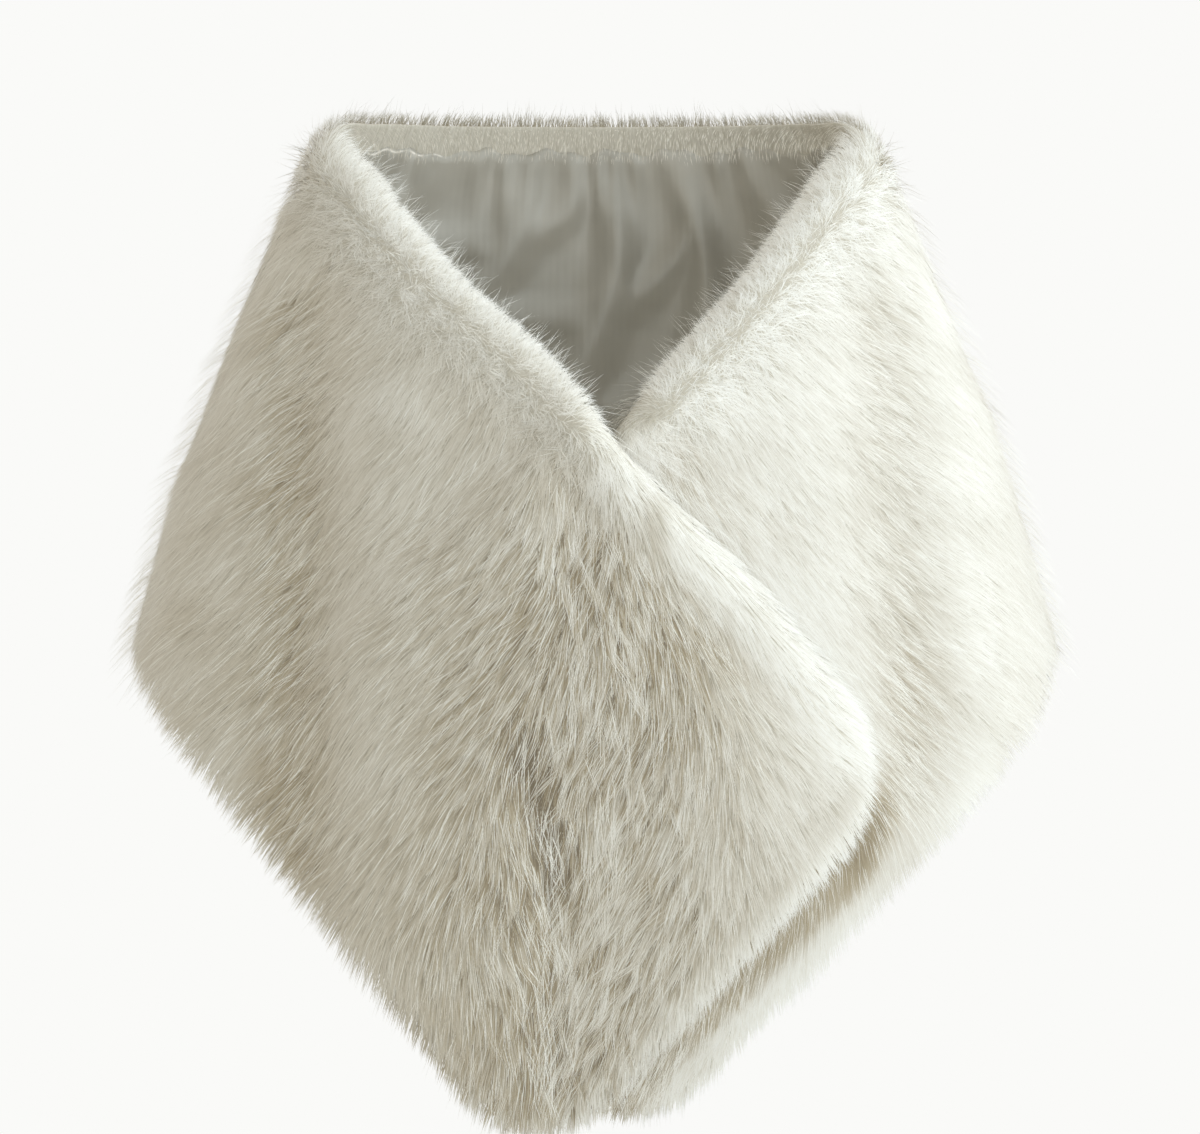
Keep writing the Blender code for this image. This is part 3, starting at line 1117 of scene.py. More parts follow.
    def hide(self) -> bpy.types.Object:
        """Makes the hide from a grid wrapped round the strip's section and welded.

        Returns:
            The hide, a closed piece.
        """
        columns, ring = self.skin.run.shape
        hide = new_grid("fur_hide", columns, ring)
        lay_on(hide, self.skin.place, np.stack([self.skin.run, self.skin.across], axis=-1))
        bpy.ops.object.mode_set(mode="EDIT")
        bpy.ops.mesh.select_all(action="SELECT")
        bpy.ops.mesh.remove_doubles(threshold=1e-6)
        bpy.ops.mesh.normals_make_consistent(inside=False)
        bpy.ops.object.mode_set(mode="OBJECT")
        bpy.ops.object.shade_smooth()
        hide.data.materials.append(KnittedBacking().material())
        return hide


@dataclass(frozen=True)
class PilePiece:
    """One stretch of the pile, made as a piece of its own."""

    name: str
    run_from: float
    run_to: float
    hairs: int


@dataclass(frozen=True)
class Growth:
    """How the pile grows in one place: lengths in metres, leans from upright in degrees."""

    length: float
    root_lean: float
    tip_lean: float
    spread: float
    # Above 0 warmer and darker, below 0 whiter: the fur's own tone together with painted light and shade
    warmth_and_shade: float
    fineness: float


# The roll's and the parting's whiter tint is painted light; the inside band's warmer, darker tint is painted
# shade of the neck
FIELD = Growth(0.033, 62.0, 86.0, 2.5, 0.0, 1.0)
ROLL = Growth(0.017, 60.0, 87.0, 7.0, -0.50, 1.7)
PARTING = Growth(0.017, 30.0, 66.0, 46.0, -0.24, 1.2)
INSIDE = Growth(0.009, 55.0, 86.0, 5.0, 0.52, 1.7)


@dataclass(frozen=True)
class HairSizes:
    """Sizes of the hairs, in metres, degrees and shares of a hair's own size.

    Each hair stands for a few real ones, which are too fine to make singly, so it is drawn wider. Guard
    hairs are the few long thin ones that stand out of the pile.
    """

    width: float = 0.00065
    widths: tuple[float, float] = (0.6, 1.3)
    lengths: tuple[float, float] = (0.68, 1.1)
    leans: tuple[float, float] = (-3, 3)
    most_rise: float = 0.0265
    least_length: float = 0.7
    most_length: float = 1.25
    hairs_in_lock: int = 14
    lock_pull: float = 0.38
    lock_pulls: tuple[float, float] = (0.4, 1.4)
    lock_pull_power: float = 1.4
    lock_turn: float = 11
    lock_rise: float = 3.5
    most_of_lock: float = 2
    drift_turn: float = 5
    guard_share: float = 0.08
    guard_plain: float = 0.35
    guard_ruffled: float = 1.5
    guard_stray: float = 0.60
    guard_width: float = 0.6
    guard_length: float = 1.3
    guard_stray_length: float = 0.4
    guard_leans: tuple[float, float] = (5, 18)
    guard_stray_lean: float = 0.9
    guard_tint: float = 0.97
    low_edge_shorter: float = 0.40
    back_rim_rise: float = 24
    taper: tuple[float, float, float] = (0.8, 1.0, 0.0)
    twist: float = 0.45
    shade_out: float = 0.66
    shade_across: float = 0.20
    shade_along: float = 0.75
    shade_along_inside: float = -0.30
    seed: int = 11


@dataclass(frozen=True)
class Zones:
    """Where the pile changes: fades along the strip, in from its edges, and in the front view."""

    roll_outer: Fade = Fade(0.74, -0.14)
    roll_under: Fade = Fade(0.70, -0.14)
    ruffled: Spot = Spot(0.005, 0.0, 0.105, np.inf, 1.0)
    ruffled_below: Fade = Fade(-0.20, -0.12)
    near_low_edge: Fade = Fade(0.05, -0.05)
    towards_end: Fade = Fade(0.80, 0.10)
    over_edge: Fade = Fade(0.024, -0.012)
    over_edge_along: Fade = Fade(0.70, -0.10)
    faces_side: Fade = Fade(0.75, 0.15)
    back_rim_along: Fade = Fade(0.36, -0.08)
    back_rim: Fade = Fade(0.022, -0.014)
    slanting_edge: Fade = Fade(0.054, -0.034)
    slanting_along: Fade = Fade(0.60, 0.08)
    beside_lap: Fade = Fade(-0.065, 0.05)
    beside_lap_above: Fade = Fade(-0.33, 0.08)
    back: Fade = Fade(0.34, -0.10)
    inside_back: Fade = Fade(0.40, -0.10)
    inside_back_left: Fade = Fade(0.10, -0.35)
    front: Fade = Fade(0.30, 0.10)
    hem: Fade = Fade(0.27, 0.12)
    far_side: Fade = Fade(0.25, 0.08)
    far_side_below: Fade = Fade(-0.38, -0.10)
    upper: Fade = Fade(-0.25, 0.10)
    fringe: Fade = Fade(0.026, -0.018)
    middle_below: Fade = Fade(-0.28, -0.06)
    under_band: Fade = Fade(-0.44, -0.06)
    contact_shadow: Fade = Fade(-0.021, 0.017)
    covered: float = 0.018
    back_ends: float = 0.34


@dataclass(frozen=True)
class Tones:
    """How much each place adds to the pile's tint, from warm, darker beige at 0 to cool white at 1.

    Beside the fur's own tone and its random changes, most of these are painted light and shade. The tint is
    darker on the wearer's right half, between lower locks and hairs, in troughs and on the darker patches of
    the fronts. It is lighter on the inside band round the back, on raised folds and on the lighter patches.
    """

    plain: float = 0.60
    shade_to_the_right: float = -0.19
    back: float = 0.12
    drift: float = 0.05
    lock: float = 0.085
    raised: float = 0.04
    raised_range: tuple[float, float] = (-6, 8)
    inside_back: float = 0.25
    inside_back_left: float = 0.35
    uneven: float = 0.05
    uneven_ruffled: float = 0.145
    uneven_inside: float = 0.03
    # Painted shade in troughs and painted light on raised folds
    sunk: float = 22.0
    risen: float = 8.0
    under_folds: float = 0.7
    outer_hem: float = -0.07
    under_hem: float = 0.05
    # Painted shade (below 0) and painted light (above 0) on patches of the fronts
    far_side: float = -0.15
    upper: float = 0.08
    fringe: float = 0.42
    middle: Spot = Spot(-0.03, 0.0, 0.100, np.inf, -0.24)
    below_crossing: Spot = Spot(0.055, -0.39, 0.050, 0.090, -0.29)
    corner: Spot = Spot(0.17, -0.45, 0.060, 0.080, 0.34)
    under_band: float = 0.14
    contact_shadow: float = -0.95
    slanting_edge: float = 0.48
    beside_lap: float = -0.40
    limits: tuple[float, float] = (-0.6, 0.97)


class Pile:
    """Grows the pile on the hide's grid."""

    PIECES = (
        PilePiece("pile_left_front_end", -1.03, -0.62, 45000),
        PilePiece("pile_left_front_shoulder", -0.62, -0.30, 55000),
        PilePiece("pile_back", -0.30, 0.30, 58000),
        PilePiece("pile_right_front_shoulder", 0.30, 0.64, 63000),
        PilePiece("pile_right_front_end", 0.64, 1.03, 66000),
    )
    SEGMENTS = (0.0, 0.5, 1.0)
    INSIDE_SHARE = 0.75
    BACK_SHARE = 0.8
    CALM = 0.06
    CALM_AT_EDGE = 0.8
    DEEP_TROUGH = 0.014
    RUFFLED_TROUGH = 0.4
    RUFFLED_LAP = 0.6
    PARTING_SKEW = 1.5
    COOL_WITHIN = 0.3
    DRIFT_WAVES = 9
    DRIFT_LENGTHS = (0.05, 0.13)

    def __init__(self, skin: Skin, form: WornForm, cloth: FurCloth, sizes: HairSizes) -> None:
        """Keeps the grid and the sizes, and sets up the slow drift.

        Args:
            skin: The hide's grid.
            form: The form that it lies on.
            cloth: The cloth's sizes.
            sizes: Sizes of the hairs.
        """
        self.skin = skin
        self.form = form
        self.parting_shades = WornForm(folds=PARTING_SHADES)
        self.cloth = cloth
        self.sizes = sizes
        self.zones = Zones()
        self.tones = Tones()
        self.random = np.random.default_rng(sizes.seed)
        draw = self.random
        self.waves = [
            (draw.normal(size=3), draw.uniform(0, 2 * np.pi), draw.uniform(*self.DRIFT_LENGTHS))
            for _ in range(self.DRIFT_WAVES)
        ]

    def density(self) -> np.ndarray:
        """How thick the pile stands.

        Returns:
            A share for each point of the grid.
        """
        skin = self.skin
        along = np.abs(skin.run)
        cut = self.cloth.cut
        to_turned_edge = np.minimum(skin.across - cut.top, cut.end - cut.end_cut(skin.across) - along)
        turned = to_turned_edge < self.cloth.turned_in
        shown = np.where(skin.outward > 0, 1.0, np.where(turned, self.INSIDE_SHARE, 0.0))
        share = np.where(along > self.zones.back_ends, 1.0, self.BACK_SHARE)
        return shown * share * self.grown(skin._asdict(), "fineness") * (skin.covered < self.zones.covered)

    def sprinkle(self, count: int, run_from: float, run_to: float) -> dict[str, np.ndarray]:
        """Random points of the hide, even by area and density.

        Args:
            count: How many points.
            run_from: Lowest distance along the strip.
            run_to: Highest distance along the strip.

        Returns:
            The skin's values at the points.
        """
        p = self.skin.place
        sides = p[1:, :-1] - p[:-1, :-1], p[:-1, 1:] - p[:-1, :-1]
        area = np.linalg.norm(np.cross(*sides), axis=-1)
        density = self.density()
        weight = area * (density[1:, 1:] + density[:-1, :-1] + density[1:, :-1] + density[:-1, 1:]) / 4
        run = (self.skin.run[1:, 1:] + self.skin.run[:-1, :-1]) / 2
        weight = weight * (run >= run_from) * (run < run_to)
        cells = self.random.choice(weight.size, size=count, p=(weight / weight.sum()).ravel())
        i, j = np.unravel_index(cells, weight.shape)
        s, t = self.random.random((2, count, 1))

        def at(values: np.ndarray) -> np.ndarray:
            """A column of the skin at the points."""
            flat = values if values.ndim == 3 else values[..., None]
            low = flat[i, j] * (1 - s) + flat[i + 1, j] * s
            high = flat[i, j + 1] * (1 - s) + flat[i + 1, j + 1] * s
            found = low * (1 - t) + high * t
            return found if values.ndim == 3 else found[:, 0]

        return {name: at(getattr(self.skin, name)) for name in Skin._fields}

    def drift(self, place: np.ndarray) -> np.ndarray:
        """A slow change from place to place.

        Args:
            place: The places.

        Returns:
            A number for each, about -1 to 1.
        """
        total = 0
        for way, phase, length in self.waves:
            total = total + np.sin(place @ (way / np.linalg.norm(way)) * 2 * np.pi / length + phase)
        return total / np.sqrt(self.DRIFT_WAVES)

    def grown(self, roots: dict[str, np.ndarray], name: str) -> np.ndarray:
        """A value of the growth, from its four places.

        Args:
            roots: The skin's values at the roots.
            name: Which value.

        Returns:
            It at each root.
        """
        zones, along = self.zones, np.abs(roots["run"])
        past = roots["turned"] - self.cloth.parting
        width = self.cloth.parting_width
        above_lap = np.where(roots["run"] > 0, zones.roll_outer.at(along), zones.roll_under.at(along))
        inside = roots["outward"] < 0
        skewed = np.where(past > 0, past / self.PARTING_SKEW, past)
        parting = np.exp(-((skewed / width) ** 2)) * ~inside * above_lap
        roll = eased(0.5 - past / width) * above_lap
        base = getattr(FIELD, name) * (1 - roll) + getattr(ROLL, name) * roll
        outside = base * (1 - parting) + getattr(PARTING, name) * parting
        return np.where(inside, getattr(INSIDE, name), outside)

    def ruffled(self, roots: dict[str, np.ndarray]) -> np.ndarray:
        """How unruly the pile is.

        Args:
            roots: The skin's values at the roots.

        Returns:
            1 down the middle of the outer front, where the locks cross, less in troughs, low elsewhere.
        """
        place, zones = roots["place"], self.zones
        middle = zones.ruffled.at(place) * zones.ruffled_below.at(place[:, 2])
        middle = middle * (1 - self.CALM_AT_EDGE * self.slanting_edge(roots))
        trough = np.clip(-self.form.rise(place[:, 0], place[:, 2]) / self.DEEP_TROUGH, 0, 1)
        shares = [middle, self.RUFFLED_TROUGH * trough, self.RUFFLED_LAP * self.beside_lap(roots)]
        return self.CALM + (1 - self.CALM) * np.max(shares, axis=0) * (place[:, 1] < 0)

    def to_end(self, roots: dict[str, np.ndarray]) -> np.ndarray:
        """Distance from the strip's end, its rounded corners included."""
        return self.cloth.cut.end - self.cloth.cut.end_cut(roots["across"]) - np.abs(roots["run"])

    def at_low_edge(self, roots: dict[str, np.ndarray]) -> np.ndarray:
        """1 at the end of a front and at the hem near it, to 0 at 50 mm from them."""
        from_edge = np.minimum(self.to_end(roots), self.cloth.cut.low - roots["across"])
        return self.zones.near_low_edge.at(from_edge) * self.zones.towards_end.at(np.abs(roots["run"]))

    def straying(self, roots: dict[str, np.ndarray]) -> np.ndarray:
        """Where single long hairs stand off.

        Args:
            roots: The skin's values at the roots.

        Returns:
            1 over the turned edge and on the sides, to 0 elsewhere.
        """
        zones = self.zones
        over_edge = zones.over_edge.at(roots["turned"]) * zones.over_edge_along.at(np.abs(roots["run"]))
        on_side = zones.faces_side.at(np.abs(roots["normal"][:, 0]))
        return np.maximum(over_edge, on_side) * (roots["outward"] > 0)

    def at_back_rim(self, roots: dict[str, np.ndarray]) -> np.ndarray:
        """1 on the rim of the neck edge round the back, where the pile stands up."""
        return self.zones.back_rim_along.at(np.abs(roots["run"])) * self.zones.back_rim.at(roots["turned"])

    def slanting_edge(self, roots: dict[str, np.ndarray]) -> np.ndarray:
        """1 along the slanting edge of a front, below the place where the fronts cross."""
        below = self.zones.slanting_along.at(np.abs(roots["run"]))
        return self.zones.slanting_edge.at(roots["turned"]) * below

    def beside_lap(self, roots: dict[str, np.ndarray]) -> np.ndarray:
        """1 on the under front just beside the outer front's upper edge."""
        above = self.zones.beside_lap_above.at(roots["place"][:, 2])
        return self.zones.beside_lap.at(roots["covered"]) * above

    def paths(
        self, roots: dict[str, np.ndarray], turn: np.ndarray, length: np.ndarray, raised: np.ndarray
    ) -> np.ndarray:
        """Each hair's points: it leaves the hide at one lean and ends at another.

        Args:
            roots: The skin's values at the roots.
            turn: Each hair's own turn from the nap, in radians.
            length: Each hair's length.
            raised: Degrees that each hair stands up more than its neighbours.

        Returns:
            Points, hair by segment by axis.
        """
        normal, nap = unit(roots["normal"]), unit(roots["nap"])
        side = np.cross(normal, nap)
        way = nap * np.cos(turn)[:, None] + side * np.sin(turn)[:, None]
        lean_root = np.radians(self.grown(roots, "root_lean") - raised)[:, None]
        lean_tip = np.radians(self.grown(roots, "tip_lean") - raised)[:, None]
        start = unit(normal * np.cos(lean_root) + way * np.sin(lean_root))
        end = unit(normal * np.cos(lean_tip) + way * np.sin(lean_tip))
        steps = np.array(self.SEGMENTS)[None, :, None]
        run = start[:, None] * (steps - steps**2 / 2) + end[:, None] * steps**2 / 2
        return roots["place"][:, None] + run * length[:, None, None]

    def tint(self, roots: dict[str, np.ndarray], lock: np.ndarray, raised: np.ndarray) -> np.ndarray:
        """Each hair's tint, from 0 for warm, darker beige to 1 for cool white, with painted light and shade
        in it, and below 0 for the painted shade of a parting or of the outer front's edge.

        Args:
            roots: The skin's values at the roots.
            lock: The value of each hair's lock, about -2 to 2.
            raised: Degrees that each hair stands up more than its neighbours.

        Returns:
            A number for each hair.
        """
        tones, zones, uneven = self.tones, self.zones, self.ruffled(roots)
        run, along, outside = roots["run"], np.abs(roots["run"]), roots["outward"] > 0
        # Painted shade: the wearer's right half, away from the key light, is darker and warmer, and the left
        # half is whiter
        cool = tones.plain + tones.shade_to_the_right * np.clip(run / self.COOL_WITHIN, -1, 1)
        # Each growth's tone: painted light on the roll and the parting, painted shade on the inside band
        cool = cool - self.grown(roots, "warmth_and_shade")
        cool = cool + tones.back * zones.back.at(along)
        cool = cool + tones.drift * self.drift(roots["place"]) + self.toned(roots)
        # Painted shade between the hairs: locks and hairs that stand higher are whiter, and lower ones are
        # darker
        cool = cool + uneven * (tones.lock * lock + tones.raised * np.clip(raised, *tones.raised_range))
        # Painted light on the inside band round the back, stronger on the left half, which faces the key
        # light
        inside_back = tones.inside_back + tones.inside_back_left * zones.inside_back_left.at(run)
        cool = cool + ~outside * zones.inside_back.at(along) * inside_back
        noise = np.where(outside, tones.uneven + tones.uneven_ruffled * uneven, tones.uneven_inside)
        return np.clip(cool + noise * self.random.normal(size=len(cool)), *tones.limits)

    def toned(self, roots: dict[str, np.ndarray]) -> np.ndarray:
        """The fronts' painted light and shade.

        Painted light makes them whiter on raised folds, down the slanting edge, on the outer front's upper
        part, end and corner, and on the under front's low band. Painted shade makes them warmer and darker in
        troughs, where the pile opens, down the middle of the outer front, below the crossing, on the far side
        of the under front, beside the lap, and where the outer front's edge lies over the under front. Near
        the hem the outer front is a little darker and the under front a little lighter.

        Args:
            roots: The skin's values at the roots.

        Returns:
            What each root's tint gains.
        """
        tones, zones = self.tones, self.zones
        place, covered, outer = roots["place"], roots["covered"], roots["run"] > 0
        x, height = place[:, 0], place[:, 2]
        in_front = zones.front.at(np.abs(roots["run"])) * (roots["outward"] > 0)
        # Painted light on raised folds, and painted shade in troughs and along the lines where the pile opens
        rise = self.form.rise(x, height) + self.parting_shades.rise(x, height)
        folds = np.where(rise < 0, tones.sunk, tones.risen) * rise * (place[:, 1] < 0)
        folds = folds * np.where(outer, 1.0, tones.under_folds)
        hem = np.where(outer, tones.outer_hem, tones.under_hem) * zones.hem.at(roots["across"])
        # Painted shade on the far side of the under front, twice as strong low down
        far_side = tones.far_side * ~outer * zones.far_side.at(x) * (1 + zones.far_side_below.at(height))
        # Painted light on the outer front's upper part and near its end
        upper = tones.upper * outer * zones.upper.at(height)
        fringe = tones.fringe * outer * zones.fringe.at(self.to_end(roots))
        # Painted shade down the middle of the outer front and below the crossing, and painted light at the
        # outer front's corner
        middle = tones.middle.at(place) * zones.middle_below.at(height) + tones.below_crossing.at(place)
        corner = tones.corner.at(place) * outer
        slanting = self.slanting_edge(roots)
        # Painted light on the under front's low band, with a dark painted shadow where the outer front's edge
        # lies over it
        under = tones.under_band + tones.contact_shadow * zones.contact_shadow.at(covered)
        under = under * zones.under_band.at(height) * (covered > FAR_OUTSIDE / 2)
        # Painted light down the slanting edge, and painted shade on the under front beside the lap
        edge = tones.slanting_edge * slanting + tones.beside_lap * self.beside_lap(roots)
        edge = edge + middle * outer * (1 - slanting)
        return in_front * (folds + hem + far_side + upper + fringe + corner + under + edge)

    def hairs(self, piece: PilePiece) -> tuple[np.ndarray, ...]:
        """The hairs of one stretch.

        Args:
            piece: The stretch.

        Returns:
            Points, normals at the roots, tints and widths of its hairs, and how far each one's shading
            leans along it.
        """
        sizes, random, count = self.sizes, self.random, piece.hairs
        roots = self.sprinkle(count, piece.run_from, piece.run_to)
        locks = self.sprinkle(count // sizes.hairs_in_lock, piece.run_from, piece.run_to)
        nearest = self.nearest(roots["place"], locks["place"])
        spread = np.radians(self.grown(locks, "spread"))
        uneven, own_uneven, outside = self.ruffled(locks), self.ruffled(roots), roots["outward"] > 0
        lock_turn = (spread + np.radians(sizes.lock_turn) * uneven) * random.normal(size=len(spread))
        lock_turn = lock_turn + np.radians(sizes.drift_turn) * self.drift(locks["place"])
        lock_value = np.clip(random.normal(size=len(spread)), -sizes.most_of_lock, sizes.most_of_lock)
        lock_rise = sizes.lock_rise * uneven * lock_value
        turn = lock_turn[nearest] + np.radians(self.grown(roots, "spread")) * random.normal(size=count)
        stray = self.straying(roots)
        guards = sizes.guard_plain + sizes.guard_ruffled * own_uneven + sizes.guard_stray * stray
        guard = random.random(count) < sizes.guard_share * guards * outside
        length = self.grown(roots, "length") * random.uniform(*sizes.lengths, count)
        length = np.where(guard, length * (sizes.guard_length + sizes.guard_stray_length * stray), length)
        length = length * (1 - sizes.low_edge_shorter * self.at_low_edge(roots))
        guard_raised = random.uniform(*sizes.guard_leans, count) * (1 + sizes.guard_stray_lean * stray)
        raised = np.where(guard, guard_raised, random.uniform(*sizes.leans, count))
        raised = raised + lock_rise[nearest] + sizes.back_rim_rise * self.at_back_rim(roots) * ~guard
        own = self.paths(roots, turn, length, raised)
        shared = self.paths(locks, lock_turn, self.grown(locks, "length"), lock_rise)[nearest]
        same_face = roots["outward"] * locks["outward"][nearest] > 0
        pull = sizes.lock_pull * own_uneven * random.uniform(*sizes.lock_pulls, count) * same_face * ~guard
        share = np.array(self.SEGMENTS)[None, :] ** sizes.lock_pull_power * pull[:, None]
        points = self.kept_length(own + (shared - own) * share[..., None], length)
        normals = unit(roots["normal"])
        points = self.kept_low(points, normals[:, None])
        width = sizes.width / self.grown(roots, "fineness") * random.uniform(*sizes.widths, count)
        width = width * np.where(guard, sizes.guard_width, 1.0)
        tint = np.where(guard, sizes.guard_tint, self.tint(roots, lock_value[nearest], raised))
        tilt = np.where(outside, sizes.shade_along, sizes.shade_along_inside)
        return points, normals, tint, width, tilt

    @staticmethod
    def nearest(places: np.ndarray, among: np.ndarray) -> np.ndarray:
        """Finds the nearest places.

        Args:
            places: The places.
            among: Those that are searched.

        Returns:
            For each place, the index of the nearest one.
        """
        tree = KDTree(len(among))
        for index, place in enumerate(among):
            tree.insert(place, index)
        tree.balance()
        return np.array([tree.find(place)[1] for place in places])

    def kept_length(self, points: np.ndarray, length: np.ndarray) -> np.ndarray:
        """Brings each hair back to its own length.

        Args:
            points: The hairs' points.
            length: Their lengths.

        Returns:
            The points.
        """
        now = np.linalg.norm(np.diff(points, axis=1), axis=-1).sum(1)
        factor = np.clip(length / now, self.sizes.least_length, self.sizes.most_length)[:, None, None]
        return points[:, :1] + (points - points[:, :1]) * factor

    def kept_low(self, points: np.ndarray, normals: np.ndarray) -> np.ndarray:
        """Keeps the hairs from standing more than their limit off the hide.

        Args:
            points: The hairs' points.
            normals: Normals at their roots.

        Returns:
            The points.
        """
        rise = ((points - points[:, :1]) * normals).sum(-1)
        kept = np.minimum(1, self.sizes.most_rise / rise[:, -1:].clip(1e-6))
        return points - normals * (rise * (1 - kept))[..., None]

    def piece(self, piece: PilePiece, finish: AcrylicPile, material: bpy.types.Material) -> bpy.types.Object:
        """Makes one stretch of the pile as a mesh of tapered hairs.

        Args:
            piece: The stretch.
            finish: The pile's finish, which maps each hair.
            material: That finish's material.

        Returns:
            The piece. It casts no shadow and throws no light back, so that its thick hairs look as pale as
            real fine ones.
        """
        sizes = self.sizes
        points, normals, tint, width, tilt = self.hairs(piece)
        count, levels = points.shape[:2]
        way = unit(np.gradient(points, axis=1))
        twist = self.random.uniform(-sizes.twist, sizes.twist, count)[:, None, None]
        flat = unit(np.cross(way, normals[:, None]))
        edge = unit(flat * np.cos(twist) + normals[:, None] * np.sin(twist))
        half = edge * np.array(sizes.taper)[None, :, None] * width[:, None, None] / 2
        left, right = points - half, points + half
        body = np.stack([left, right], axis=2)[:, :-1].reshape(count, -1, 3)
        vertices = np.concatenate([body, points[:, -1:]], axis=1)
        shade = normals[:, None] * sizes.shade_out + np.cross(edge, way) * sizes.shade_across
        shade = unit(shade + way * tilt[:, None, None])
        shade = np.repeat(shade, 2, axis=1)[:, :-1]
        up = np.repeat(self.SEGMENTS, 2)[:-1]
        sideways = np.append(np.tile([-1.0, 1.0], levels - 1), 0.0)
        pile = self.mesh(piece.name, vertices, shade, finish.map(tint, up, sideways), finish.hair_map)
        pile.data.materials.append(material)
        pile.visible_shadow = pile.visible_diffuse = False
        return pile

    @staticmethod
    def mesh(
        name: str, vertices: np.ndarray, shade: np.ndarray, places: np.ndarray, map_name: str
    ) -> bpy.types.Object:
        """Builds a mesh from hairs' outlines, each a strip of quads with a triangle at its tip.

        Args:
            name: The piece's name.
            vertices: Points, hair by vertex by axis, the tip last.
            shade: Shading normals, likewise.
            places: Places on the UV map, likewise.
            map_name: The map's name.

        Returns:
            The piece, in the scene.
        """
        count, each = vertices.shape[:2]
        first = np.arange(count)[:, None] * each
        quads = [first + np.array([at, at + 1, at + 3, at + 2]) for at in range(0, each - 3, 2)]
        tip = first + np.array([each - 3, each - 2, each - 1])
        corners = np.concatenate([*quads, tip], axis=1).astype(np.int32)
        starts = np.arange(len(quads) + 1) * 4
        data = bpy.data.meshes.new(name)
        data.vertices.add(count * each)
        data.vertices.foreach_set("co", vertices.astype(np.float32).reshape(-1))
        data.loops.add(corners.size)
        data.loops.foreach_set("vertex_index", corners.reshape(-1))
        data.polygons.add(count * len(starts))
        loop_starts = np.arange(count)[:, None] * corners.shape[1] + starts
        data.polygons.foreach_set("loop_start", loop_starts.astype(np.int32).reshape(-1))
        data.update(calc_edges=True)
        layer = data.uv_layers.new(name=map_name)
        uv = places.reshape(-1, 2)[corners.reshape(-1)]
        layer.uv.foreach_set("vector", uv.astype(np.float32).reshape(-1))
        normal = data.attributes.new("custom_normal", "FLOAT_VECTOR", "POINT")
        normal.data.foreach_set("vector", shade.astype(np.float32).reshape(-1))
        data.shade_smooth()
        pile = bpy.data.objects.new(name, data)
        bpy.context.collection.objects.link(pile)
        return pile


class Wave(NamedTuple):
    """A wave over the flat strip, by its turn in radians for each metre along it and across."""

    along: float
    across: float
    phase: float
    height: float


def waved(waves: tuple[Wave, ...], run: np.ndarray, across: np.ndarray) -> np.ndarray:
    """The sum of some waves at places of the strip."""
    return sum(w.height * np.sin(run * w.along + across * w.across + w.phase) for w in waves)


@dataclass(frozen=True)
class LiningSizes:
    """Sizes of the lining as it lies inside the fur."""

    from_neck: float = 0.023
    from_hem: float = 0.024
    from_end: float = 0.024
    thickness: float = 0.0012
    gather: float = 0.0035
    gather_every: float = 0.026
    gather_depth: float = 0.034
    gather_sharpness: float = 1.6
    gather_wander: tuple[Wave, ...] = (Wave(27, 0, 0, 0.5), Wave(71, 0, 1.0, 0.3))
    gather_lean: float = 3
    drape: float = 0.0080
    drape_every: float = 0.085
    drape_sharpness: float = 2.2
    drape_bend: tuple[Wave, ...] = (Wave(13, 9, 0, 0.35), Wave(5, 21, 0, 0.25))
    cross_every: float = 0.21
    cross_across: float = 0.13
    cross_bend: float = 1.3
    cross_sharpness: float = 6.0
    cross_share: float = 0.8
    slack: Fade = Fade(0.0, 0.07)
    seam: Fade = Fade(0.0, 0.010)
    tuck: Fade = Fade(0.0, 0.005)
    tucked: float = 0.0020
    ruffle: float = 0.0022
    ruffle_depth: float = 0.02
    ruffle_every: float = 0.061
    ruffle_wander: Wave = Wave(19, 0, 0, 1.7)
    small_ruffle: Wave = Wave(2 * np.pi / 0.023, 0, 0, 0.6)
    columns: int = 520
    rows: int = 34
    rows_closer_to_neck: float = 1.3


